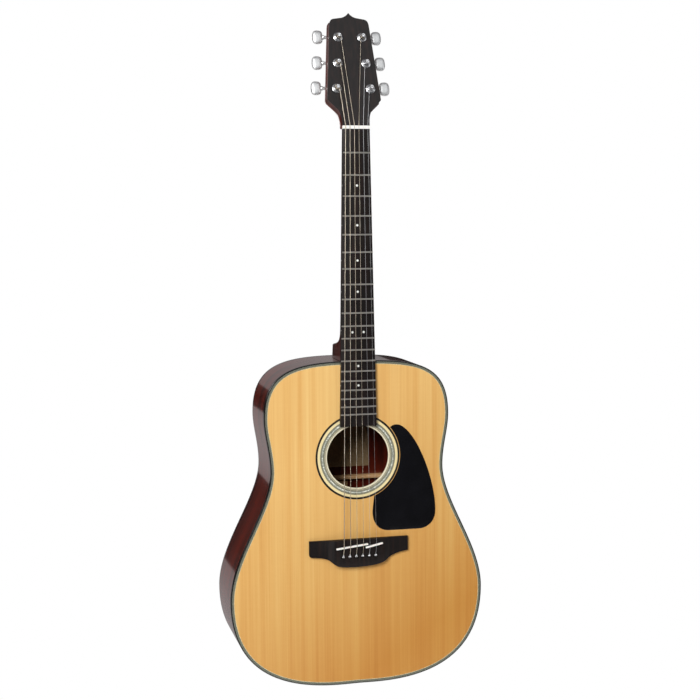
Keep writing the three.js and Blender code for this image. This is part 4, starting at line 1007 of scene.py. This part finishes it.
ring = ROSETTE_OUTER + 0.8
high = math.sqrt(ring ** 2 - 52.5 ** 2) - HOLE_DOWN
low = -math.sqrt(ring ** 2 - 26.2 ** 2) - HOLE_DOWN
curves = [((52.5, high), (56, -103.2), (62, -101.6), (69, -104)),
          ((69, -104), (98, -118), (127, -196), (127, -243)),
          ((127, -243), (127, -262), (114, -272), (99.4, -272)),
          ((99.4, -272), (83, -272), (66, -271.9), (50, -271.8)),
          ((50, -271.8), (32, -271.4), (23.4, -258), (23.4, -240)),
          ((23.4, -240), (24, -232), (25, -224), (26.2, low))]
steps = (10, 26, 16, 3, 16, 4)
edge = np.vstack([bezier(curve, n)[min(i, 1):] for i, (curve, n) in enumerate(zip(curves, steps))])
start = math.atan2(low + HOLE_DOWN, 26.2)
end = math.atan2(high + HOLE_DOWN, 52.5)
arc = [(ring * math.cos(a), ring * math.sin(a) - HOLE_DOWN) for a in np.linspace(start, end, 30)[1:-1]]
guard_edge = np.vstack([edge, arc])[::-1]
guard = plate([(guard_edge, [(0.7, -0.85), (0.25, -0.7), (0, -0.35), (0, -0.02)])])
fit(finished("pickguard_sheet", guard, body_frame, guard_plastic), "black_plastic", "pickguard")


# ---- Tuning machines ----------------------------------------------------------------------------
# Six enclosed machines, chromed. A die-cast case behind the head holds a worm on the button's
# stem and a gear on the post; a threaded bushing and washer clamp it through the head.
WORM_OFFSET = 7.0
WORM_DEPTH = 20.3
POST_TOP = 11.0
BUTTON_OUT = 27.9  # the middle of a button, out from its post

# Chrome plate over die-cast zinc: a cold, slightly soft mirror with the faint orange peel of the
# casting below.
chrome, tree = begin("chrome_plated_zinc")
place = add(tree, "ShaderNodeTexCoord").outputs["Object"]
peel = add(tree, "ShaderNodeTexNoise", {}, {"Vector": place, "Scale": 420.0, "Detail": 2.0})
rough = add(tree, "ShaderNodeMapRange", {}, {"Value": peel.outputs["Fac"], "To Min": 0.2, "To Max": 0.32})
shade = add(tree, "ShaderNodeValToRGB", {"stops": [(0.3, "dcdddf"), (0.7, "e8e9ea")]},
            {"Fac": peel.outputs["Fac"]})
ripple = add(tree, "ShaderNodeBump", {}, {"Height": peel.outputs["Fac"], "Strength": 0.05,
                                          "Distance": 0.0004})
shader = add(tree, "ShaderNodeBsdfPrincipled", {},
             {"Base Color": shade.outputs[0], "Roughness": rough.outputs[0], "Metallic": 1.0,
              "Normal": ripple.outputs[0]})
add(tree, "ShaderNodeOutputMaterial", {}, {"Surface": shader.outputs[0]})


# The buttons have a satin chrome finish, so they look pale rather than mirror-like.
satin_chrome, tree = begin("chrome_plated_satin")
place = add(tree, "ShaderNodeTexCoord").outputs["Object"]
blast = add(tree, "ShaderNodeTexNoise", {}, {"Vector": place, "Scale": 900.0, "Detail": 3.0})
rough = add(tree, "ShaderNodeMapRange", {}, {"Value": blast.outputs["Fac"], "To Min": 0.42, "To Max": 0.55})
shade = add(tree, "ShaderNodeValToRGB", {"stops": [(0.3, "e6e8e8"), (0.7, "f4f5f5")]},
            {"Fac": blast.outputs["Fac"]})
shader = add(tree, "ShaderNodeBsdfPrincipled", {},
             {"Base Color": shade.outputs[0], "Roughness": rough.outputs[0], "Metallic": 1.0})
add(tree, "ShaderNodeOutputMaterial", {}, {"Surface": shader.outputs[0]})


def turned(profile, sides=32, along="y", closed=False):
    """A lathe's sections: rings about an axis, from pairs of radius and place along it, in mm."""
    rings = []
    for radius, height in profile:
        angles = np.linspace(0, 2 * math.pi, sides, endpoint=False)
        c, s = radius * np.cos(angles), radius * np.sin(angles)
        h = np.full(sides, float(height))
        columns = {"x": (h, c, s), "y": (c, h, s), "z": (c, s, h)}[along]
        rings.append([tuple(float(v) for v in point) for point in zip(*columns)])
    return loft(rings, closed)


def rounded_box(half_x, low, high, corner):
    """A rectangle's outline with round corners, anticlockwise, in mm."""
    points = []
    for cx, cz, start in ((half_x - corner, low + corner, -90), (half_x - corner, high - corner, 0),
                          (corner - half_x, high - corner, 90), (corner - half_x, low + corner, 180)):
        for a in np.radians(np.linspace(start, start + 90, 8)):
            points.append((cx + corner * math.cos(a), cz + corner * math.sin(a)))
    return np.array(points)


screwing, inputs = begin_tree("cross_screws", [("Radius", "Float"), ("Height", "Float"), ("Slot", "Float"),
                                               ("Metal", "Material")])
head_disc = add(screwing, "GeometryNodeMeshCylinder", {},
                {"Vertices": 20, "Radius": inputs["Radius"], "Depth": inputs["Height"]})
wide = add(screwing, "ShaderNodeMath", {"operation": "MULTIPLY"}, {0: inputs["Radius"], 1: 1.2})
bar_one = add(screwing, "ShaderNodeCombineXYZ", {},
              {"X": wide.outputs[0], "Y": inputs["Slot"], "Z": inputs["Height"]})
bar_two = add(screwing, "ShaderNodeCombineXYZ", {},
              {"X": inputs["Slot"], "Y": wide.outputs[0], "Z": inputs["Height"]})
bar_one = add(screwing, "GeometryNodeMeshCube", {}, {"Size": bar_one.outputs[0]})
bar_two = add(screwing, "GeometryNodeMeshCube", {}, {"Size": bar_two.outputs[0]})
lift = add(screwing, "ShaderNodeMath", {"operation": "MULTIPLY"}, {0: inputs["Height"], 1: 0.5})
lift = add(screwing, "ShaderNodeCombineXYZ", {}, {"Z": lift.outputs[0]})
cross = add(screwing, "GeometryNodeMeshBoolean", {"operation": "UNION"})
for bar in (bar_one, bar_two):
    moved = add(screwing, "GeometryNodeTransform", {},
                {"Geometry": bar.outputs["Mesh"], "Translation": lift.outputs[0]})
    screwing.links.new(moved.outputs[0], cross.inputs[1])
screw = add(screwing, "GeometryNodeMeshBoolean", {"operation": "DIFFERENCE"}, {0: head_disc.outputs["Mesh"]})
screwing.links.new(cross.outputs[0], screw.inputs[1])
screw = add(screwing, "GeometryNodeTransform", {},
            {"Geometry": screw.outputs[0], "Rotation": (-math.pi / 2, 0, 0)})
screws = add(screwing, "GeometryNodeInstanceOnPoints", {},
             {"Points": inputs["Geometry"], "Instance": screw.outputs[0]})
screws = add(screwing, "GeometryNodeRealizeInstances", {}, {0: screws.outputs[0]})
screws = add(screwing, "GeometryNodeSetMaterial", {},
             {"Geometry": screws.outputs[0], "Material": inputs["Metal"]})
add(screwing, "NodeGroupOutput", {}, {0: screws.outputs[0]})

screw_spots = []
for order, (along, x) in enumerate(POSTS):
    number = 6 - order
    outward = 1 if x > 0 else -1
    seat = head_frame @ Matrix.Translation((x * MM, 0, along * MM))

    foot = plate([(rounded_box(9.2, -8.5, 11.5, 2.5), [(0, 15.05), (0, 16.2), (0.5, 16.7)])])
    case = rounded_box(7.6, -5.4, 11.0, 3.2)
    case = plate([(case, [(0, 16), (0, 23.2), (0.35, 24.4), (1.1, 25.3), (2.3, 25.8), (3.6, 25.9)])])
    cover = turned([(4.6, 25.5), (4.6, 26.0), (4.2, 26.0), (3.0, 25.9)], 32)
    nose = turned([(3.9, outward * 6.0), (3.9, outward * 10.2), (3.5, outward * 10.9),
                   (2.6, outward * 10.9)], 28, "x")
    bmesh.ops.translate(nose, verts=nose.verts, vec=(0, WORM_DEPTH * MM, WORM_OFFSET * MM))
    shells = [foot, case, cover, nose]
    fit(gathered(f"tuner_case_{number}", shells, seat, chrome), "chrome", f"tuner_housing_{number}")
    screw_spots += [(x + s * 7.0, 16.9, along - 6.9) for s in (-1, 1)]

    collar = turned([(5.0, 9), (5.0, -0.05), (7.3, -0.05), (7.3, -0.8), (6.8, -1.3), (6.0, -1.4), (5.9, -2.9),
                     (5.5, -3.5), (4.9, -3.8), (4.2, -3.6), (3.7, -2.6), (3.35, -2.4), (3.35, 9)], 36,
                     closed=True)
    fit(finished(f"tuner_bushing_{number}_ring", collar, seat, chrome, 40), "chrome",
        f"tuner_bushing_{number}")

    waist = [(4.6, WORM_DEPTH + 2), (4.6, WORM_DEPTH - 2), (3.0, WORM_DEPTH - 2), (3.0, -4.4), (2.62, -4.75),
             (2.5, -7.0), (2.62, -9.2), (3.0, -9.6), (3.0, -POST_TOP + 0.5), (2.6, -POST_TOP),
             (1.7, -POST_TOP), (1.5, -POST_TOP + 0.3), (1.2, -POST_TOP + 1.4), (0.3, -POST_TOP + 1.6)]
    post = finished(f"tuner_post_{number}_turned", turned(waist, 28), seat, chrome, 40)
    eye = turned([(0.8, -6), (0.8, 6)], 12, "x")
    bmesh.ops.translate(eye, verts=eye.verts, vec=(0, -7.4 * MM, 0))
    post = joined(post, finished("eye_cutter", eye, seat, chrome), "DIFFERENCE", 40)
    fit(post, "chrome", f"tuner_post_{number}", body=f"post_{number}")

    # The button: a kidney-shaped casting, thicker in the middle, on a stem that ends in a worm.
    edge = [(-8.0, 3.4), (-7.7, 6.2), (-7.0, 8.2), (-5.6, 9.6), (-3.4, 10.4), (-1.0, 10.7), (1.2, 10.8),
            (3.4, 10.5), (5.3, 9.6), (6.7, 8.0), (7.6, 5.6), (7.95, 3.2), (8.0, 2.0)]
    sections = []
    for t, half_height in edge:
        thick = max(4.0 * max(1 - (abs(t) / 8.2) ** 5, 0) ** 0.5, 1.2)
        ring = []
        for a in np.linspace(0, 2 * math.pi, 32, endpoint=False):
            c, s = math.cos(a), math.sin(a)
            ring.append((outward * (BUTTON_OUT + t), WORM_DEPTH + thick * math.copysign(abs(c) ** 0.6, c),
                         WORM_OFFSET + half_height * math.copysign(abs(s) ** 0.9, s)))
        sections.append(ring)
    grip = loft(sections)
    stem = turned([(2.1, outward * v) for v in (-6.6, 9.0)] + [(2.5, outward * v) for v in (9.0, 17.4)]
                  + [(3.3, outward * 17.6), (3.6, outward * 18.6), (3.3, outward * 19.8),
                     (2.4, outward * 21)], 24, "x")
    cap = turned([(1.9, outward * 35.4), (1.9, outward * 35.85), (1.5, outward * 36), (0.2, outward * 36)],
                 20, "x")
    for shell in (stem, cap):
        bmesh.ops.translate(shell, verts=shell.verts, vec=(0, WORM_DEPTH * MM, WORM_OFFSET * MM))
    button = gathered(f"tuner_button_{number}_kidney", [grip, stem, cap], seat, satin_chrome, 45)
    fit(button, "chrome", f"tuner_button_{number}", body=f"button_{number}")

fit(grown("case_screws", screw_spots, [], screwing, {
    "Radius": 1.7 * MM, "Height": 1.0 * MM, "Slot": 0.5 * MM, "Metal": chrome}, head_frame), "chrome")


# ---- Strings ------------------------------------------------------------------------------------
# Steel wires held by a ball in the bridge and by their turns round the posts. The four thick ones
# are wound with phosphor bronze; the two thin ones are plain steel.
PLAIN_FROM = 4
BREAK_LIFT = 2.9  # string undersides above the fret plane, at the saddle and at the nut
NUT_LIFT = 0.4

# Phosphor bronze winding: a real one has a turn each 0.3 mm; here they are drawn 0.9 mm apart so
# that the ribbing shows. The colour has a painted highlight on each ridge and painted shade in the
# grooves between them.
winding, tree = begin("phosphor_bronze_wound")
run = add(tree, "ShaderNodeUVMap", {"uv_map": "UVMap"}).outputs[0]
parts = add(tree, "ShaderNodeSeparateXYZ", {}, {0: run})
turn = add(tree, "ShaderNodeMath", {"operation": "MULTIPLY"},
           {0: parts.outputs["X"], 1: 2 * math.pi / (0.9 * MM)})
wave = add(tree, "ShaderNodeMath", {"operation": "SINE"}, {0: turn.outputs[0]})
ridge = add(tree, "ShaderNodeMapRange", {}, {"Value": wave.outputs[0], "From Min": -1.0, "From Max": 1.0})
# Painted highlight and shade: the ramp makes the ridges light and the grooves dark.
shade = add(tree, "ShaderNodeValToRGB",
            {"stops": [(0.0, "75695a"), (0.35, "bfb09b"), (1.0, "e6dccb")]}, {"Fac": ridge.outputs[0]})
bumps = add(tree, "ShaderNodeBump", {}, {"Height": ridge.outputs[0], "Strength": 0.6, "Distance": 0.0001})
shader = add(tree, "ShaderNodeBsdfPrincipled", {},
             {"Base Color": shade.outputs[0], "Roughness": 0.34, "Metallic": 1.0,
              "Normal": bumps.outputs[0]})
add(tree, "ShaderNodeOutputMaterial", {}, {"Surface": shader.outputs[0]})

# Plain drawn steel wire: bright grey, with fine die lines along it.
music_wire, tree = begin("steel_wire_drawn")
run = add(tree, "ShaderNodeUVMap", {"uv_map": "UVMap"}).outputs[0]
drawn_out = add(tree, "ShaderNodeMapping", {}, {"Vector": run, "Scale": (150, 9000, 1)})
lines = add(tree, "ShaderNodeTexNoise", {}, {"Vector": drawn_out.outputs[0], "Scale": 1.0, "Detail": 1.0})
rough = add(tree, "ShaderNodeMapRange", {}, {"Value": lines.outputs["Fac"], "To Min": 0.3, "To Max": 0.45})
shade = add(tree, "ShaderNodeValToRGB", {"stops": [(0.3, "c2c2c4"), (0.7, "e4e4e6")]},
            {"Fac": lines.outputs["Fac"]})
shader = add(tree, "ShaderNodeBsdfPrincipled", {},
             {"Base Color": shade.outputs[0], "Roughness": rough.outputs[0], "Metallic": 1.0})
add(tree, "ShaderNodeOutputMaterial", {}, {"Surface": shader.outputs[0]})


def wire(points, radius, sides=12, closed=False):
    """A round wire along points, in mm, whose sections don't twist."""
    points = [Vector(point) for point in points]
    count = len(points)
    sections = []
    side = None
    for i, point in enumerate(points):
        before = points[i - 1] if i or closed else point
        after = points[(i + 1) % count] if i < count - 1 or closed else point
        heading = (after - before).normalized()
        side = heading.orthogonal() if side is None else side
        side = (side - heading * side.dot(heading)).normalized()
        other = heading.cross(side)
        sections.append([point + radius * (side * math.cos(a) + other * math.sin(a))
                         for a in np.linspace(0, 2 * math.pi, sides, endpoint=False)])
    return loft(sections, closed)


def saddle_down(x):
    """Where a string breaks over its saddle, in mm below the neck joint."""
    (x0, d0), (x1, d1) = SADDLES["long" if x < 11 else "short"]
    return d0 + (d1 - d0) * (x - x0) / (x1 - x0)


def in_mm(frame_of, point):
    """A point of a leaning frame, in the guitar's own frame, in mm."""
    return frame_of @ (Vector(point) * MM) / MM


for index, gauge in enumerate(STRING_RADII):
    number = 6 - index
    metal = winding if index < PLAIN_FROM else music_wire
    slot_name = "bronze_wire" if index < PLAIN_FROM else "steel"
    along, post_x = POSTS[index]
    outward = 1 if post_x > 0 else -1
    nut_x, saddle_x = across(index, NUT_SPREAD), across(index, SADDLE_SPREAD)
    rest = JOINT_DOWN + saddle_down(saddle_x)
    over = -BREAK_LIFT - gauge
    neck_low = 2.72 + gauge
    lowest = -4.9 - gauge

    ball = in_mm(body_frame, (saddle_x, -6.6, -POCKET_DOWN))
    mouth = in_mm(body_frame, (saddle_x, -9.4, -POCKET_DOWN + 4.8))
    centre = Vector((post_x, along))
    to_nut = Vector((nut_x, 5.0)) - centre
    facing = math.atan2(to_nut.y, to_nut.x) - outward * math.acos(neck_low / to_nut.length)
    touch = in_mm(head_frame, (centre.x + neck_low * math.cos(facing), lowest,
                               centre.y + neck_low * math.sin(facing)))
    route = [ball + Vector((0, -1.2, 1.0)), mouth, Vector((saddle_x, over, -rest - 1.2)),
             Vector((saddle_x, over, -rest + 1.2)), Vector((nut_x, -NUT_LIFT - gauge, -0.5)),
             Vector((nut_x, -NUT_LIFT - gauge, 3.5)), Vector((nut_x, -NUT_LIFT - gauge + 0.12, 5.0)), touch]
    stretch = wire(route, gauge, 12)

    # The ball end: a short barrel lying across the pocket, with the wire lapped round it.
    barrel = turned([(0.9, -1.7), (1.9, -1.7), (2.1, -1.3), (1.6, -0.5), (1.6, 0.5), (2.1, 1.3),
                     (1.9, 1.7), (0.9, 1.7)],
                    24, "x", True)
    bmesh.ops.translate(barrel, verts=barrel.verts, vec=ball * MM)
    lap = wire([ball + Vector((0, 1.75 * math.cos(a), 1.75 * math.sin(a)))
                for a in np.linspace(0, 2 * math.pi, 24, endpoint=False)], 0.42, 8, True)
    whip = wire([ball + Vector((0, -1.6, 1.3)), ball.lerp(mouth, 0.9)], gauge + 0.28, 12)
    fit(gathered(f"string_{number}_stretch", [stretch], still, metal, 60), slot_name, f"string_{number}")
    fit(gathered(f"string_{number}_ball", [barrel, lap, whip], still, music_wire, 40), "steel")

    # Its turns round the post are closed rings, so that the winding looks the same as it turns.
    laps = 3 if index < PLAIN_FROM else 5
    rings = []
    for i in range(laps):
        height = lowest - i * (2 * gauge + 0.04)
        rings.append(wire([(neck_low * math.cos(a), height, neck_low * math.sin(a))
                           for a in np.linspace(0, 2 * math.pi, 32, endpoint=False)], gauge, 10, True))
    rings.append(wire([(-2.2 * outward, -7.4, 0), (0.5 * outward, -7.4, 0), (4.6 * outward, -7.5, 0.3)],
                      min(gauge, 0.5), 8))
    seat = head_frame @ Matrix.Translation((post_x * MM, 0, along * MM))
    piece = gathered(f"string_{number}_turns", rings, seat, metal, 60)
    fit(piece, slot_name, body=f"post_{number}")


# ---- End pin and truss rod ----------------------------------------------------------------------
# A turned black plastic strap pin pushed into the tail block, and a steel rod let into the neck
# under the board, with its nut inside the body.
pin_profile = [(3.4, -22), (3.4, 0.1), (7.0, 0.1), (7.0, 1.6), (6.4, 2.6), (4.6, 3.8), (4.0, 5.2), (4.0, 8.2),
               (4.6, 10.0), (6.0, 11.4), (6.5, 12.2), (6.5, 13.1), (5.9, 13.8), (4.6, 14.0)]
pin = turned([(radius, -517 - height) for radius, height in pin_profile], 40, "z")
bmesh.ops.translate(pin, verts=pin.verts, vec=(0, 60 * MM, 0))
fit(finished("end_pin_turned", pin, body_frame, black_binding, 40), "black_plastic", "end_pin")
dressed(music_wire, "truss_rod")


# ---- Studio -------------------------------------------------------------------------------------
# A pale floor under the front of the hung guitar and a bright background. The polished sides
# mirror the far room: grey below its horizon, dark above it and pale at the ceiling.
YAW, PITCH, ROLL = [math.radians(angle) for angle in (13.87, 5.14, 0.48)]
ahead = Vector((math.sin(YAW) * math.cos(PITCH), math.cos(YAW) * math.cos(PITCH), -math.sin(PITCH)))
right = Vector((math.cos(YAW), -math.sin(YAW), 0))
down = -right.cross(ahead)
turned_right = right * math.cos(ROLL) + down * math.sin(ROLL)
turned_down = down * math.cos(ROLL) - right * math.sin(ROLL)
camera_data = bpy.data.cameras.new("camera")
camera_data.sensor_width = 36
camera_data.lens = 72.55
camera_data.clip_end = 60
camera = bpy.data.objects.new("camera", camera_data)
scene.collection.objects.link(camera)
camera.matrix_world = Matrix((
    (turned_right.x, -turned_down.x, -ahead.x, -0.5356),
    (turned_right.y, -turned_down.y, -ahead.y, -2.1150),
    (turned_right.z, -turned_down.z, -ahead.z, -0.1438),
    (0, 0, 0, 1)))
scene.camera = camera
scene.view_settings.view_transform = "Standard"


def panel(name, corners, strength):
    """A flat part of the studio that is pale and gives off some light."""
    mesh = bpy.data.meshes.new(name)
    mesh.from_pydata(corners, [], [(0, 1, 2, 3)])
    surface, tree = begin(f"{name}_paint")
    shader = add(tree, "ShaderNodeBsdfPrincipled", {},
                 {"Base Color": colour("f4f4f2"), "Roughness": 0.9, "Emission Color": colour("ffffff"),
                  "Emission Strength": strength})
    add(tree, "ShaderNodeOutputMaterial", {}, {"Surface": shader.outputs[0]})
    mesh.materials.append(surface)
    part = bpy.data.objects.new(name, mesh)
    scene.collection.objects.link(part)
    return part


panel("floor", [(-3, -0.9, -1.25), (3, -0.9, -1.25), (3, 0.5, -1.25), (-3, 0.5, -1.25)], 0.25)


def soft_light(name, spot, target, width, height, power):
    """A rectangular softbox aimed at a point."""
    data = bpy.data.lights.new(name, "AREA")
    data.shape = "RECTANGLE"
    data.size = width
    data.size_y = height
    data.energy = power
    light = bpy.data.objects.new(name, data)
    scene.collection.objects.link(light)
    light.location = spot
    light.rotation_euler = (Vector(target) - Vector(spot)).to_track_quat("-Z", "Y").to_euler()
    return light


soft_light("key", (-1.7, -2.4, 0.9), (0, 0, -0.3), 1.2, 1.6, 118)
soft_light("fill", (2.6, -1.6, 0.2), (0, 0, -0.45), 0.8, 1.6, 9)
soft_light("top", (0.6, -2.0, 1.6), (0, 0, 0.1), 2.2, 1.5, 9)

world = bpy.data.worlds.new("studio")
scene.world = world
world.use_nodes = True
tree = world.node_tree
tree.nodes.clear()
way = add(tree, "ShaderNodeTexCoord").outputs["Generated"]
way = add(tree, "ShaderNodeSeparateXYZ", {}, {0: way})
room = add(tree, "ShaderNodeValToRGB",
           {"stops": [(0.0, "949090"), (0.445, "9c9696"), (0.451, "0c0a0a"), (0.535, "0c0a0a"),
                      (0.545, "948f8f")]},
           {"Fac": add(tree, "ShaderNodeMapRange", {},
                       {"Value": way.outputs["Z"], "From Min": -1.0}).outputs[0]})
behind = add(tree, "ShaderNodeMath", {"operation": "GREATER_THAN"}, {0: way.outputs["Y"], 1: 0.0})
room = add(tree, "ShaderNodeMix", {"data_type": "RGBA"},
           {0: behind.outputs[0], 6: colour("4c4c50"), 7: room.outputs[0]})
seen = add(tree, "ShaderNodeLightPath").outputs["Is Camera Ray"]
shade = add(tree, "ShaderNodeMix", {"data_type": "RGBA"}, {0: seen, 6: room.outputs[2], 7: colour("ffffff")})
light = add(tree, "ShaderNodeBackground", {}, {"Color": shade.outputs[2], "Strength": 1.0})
add(tree, "ShaderNodeOutputWorld", {}, {"Surface": light.outputs[0]})
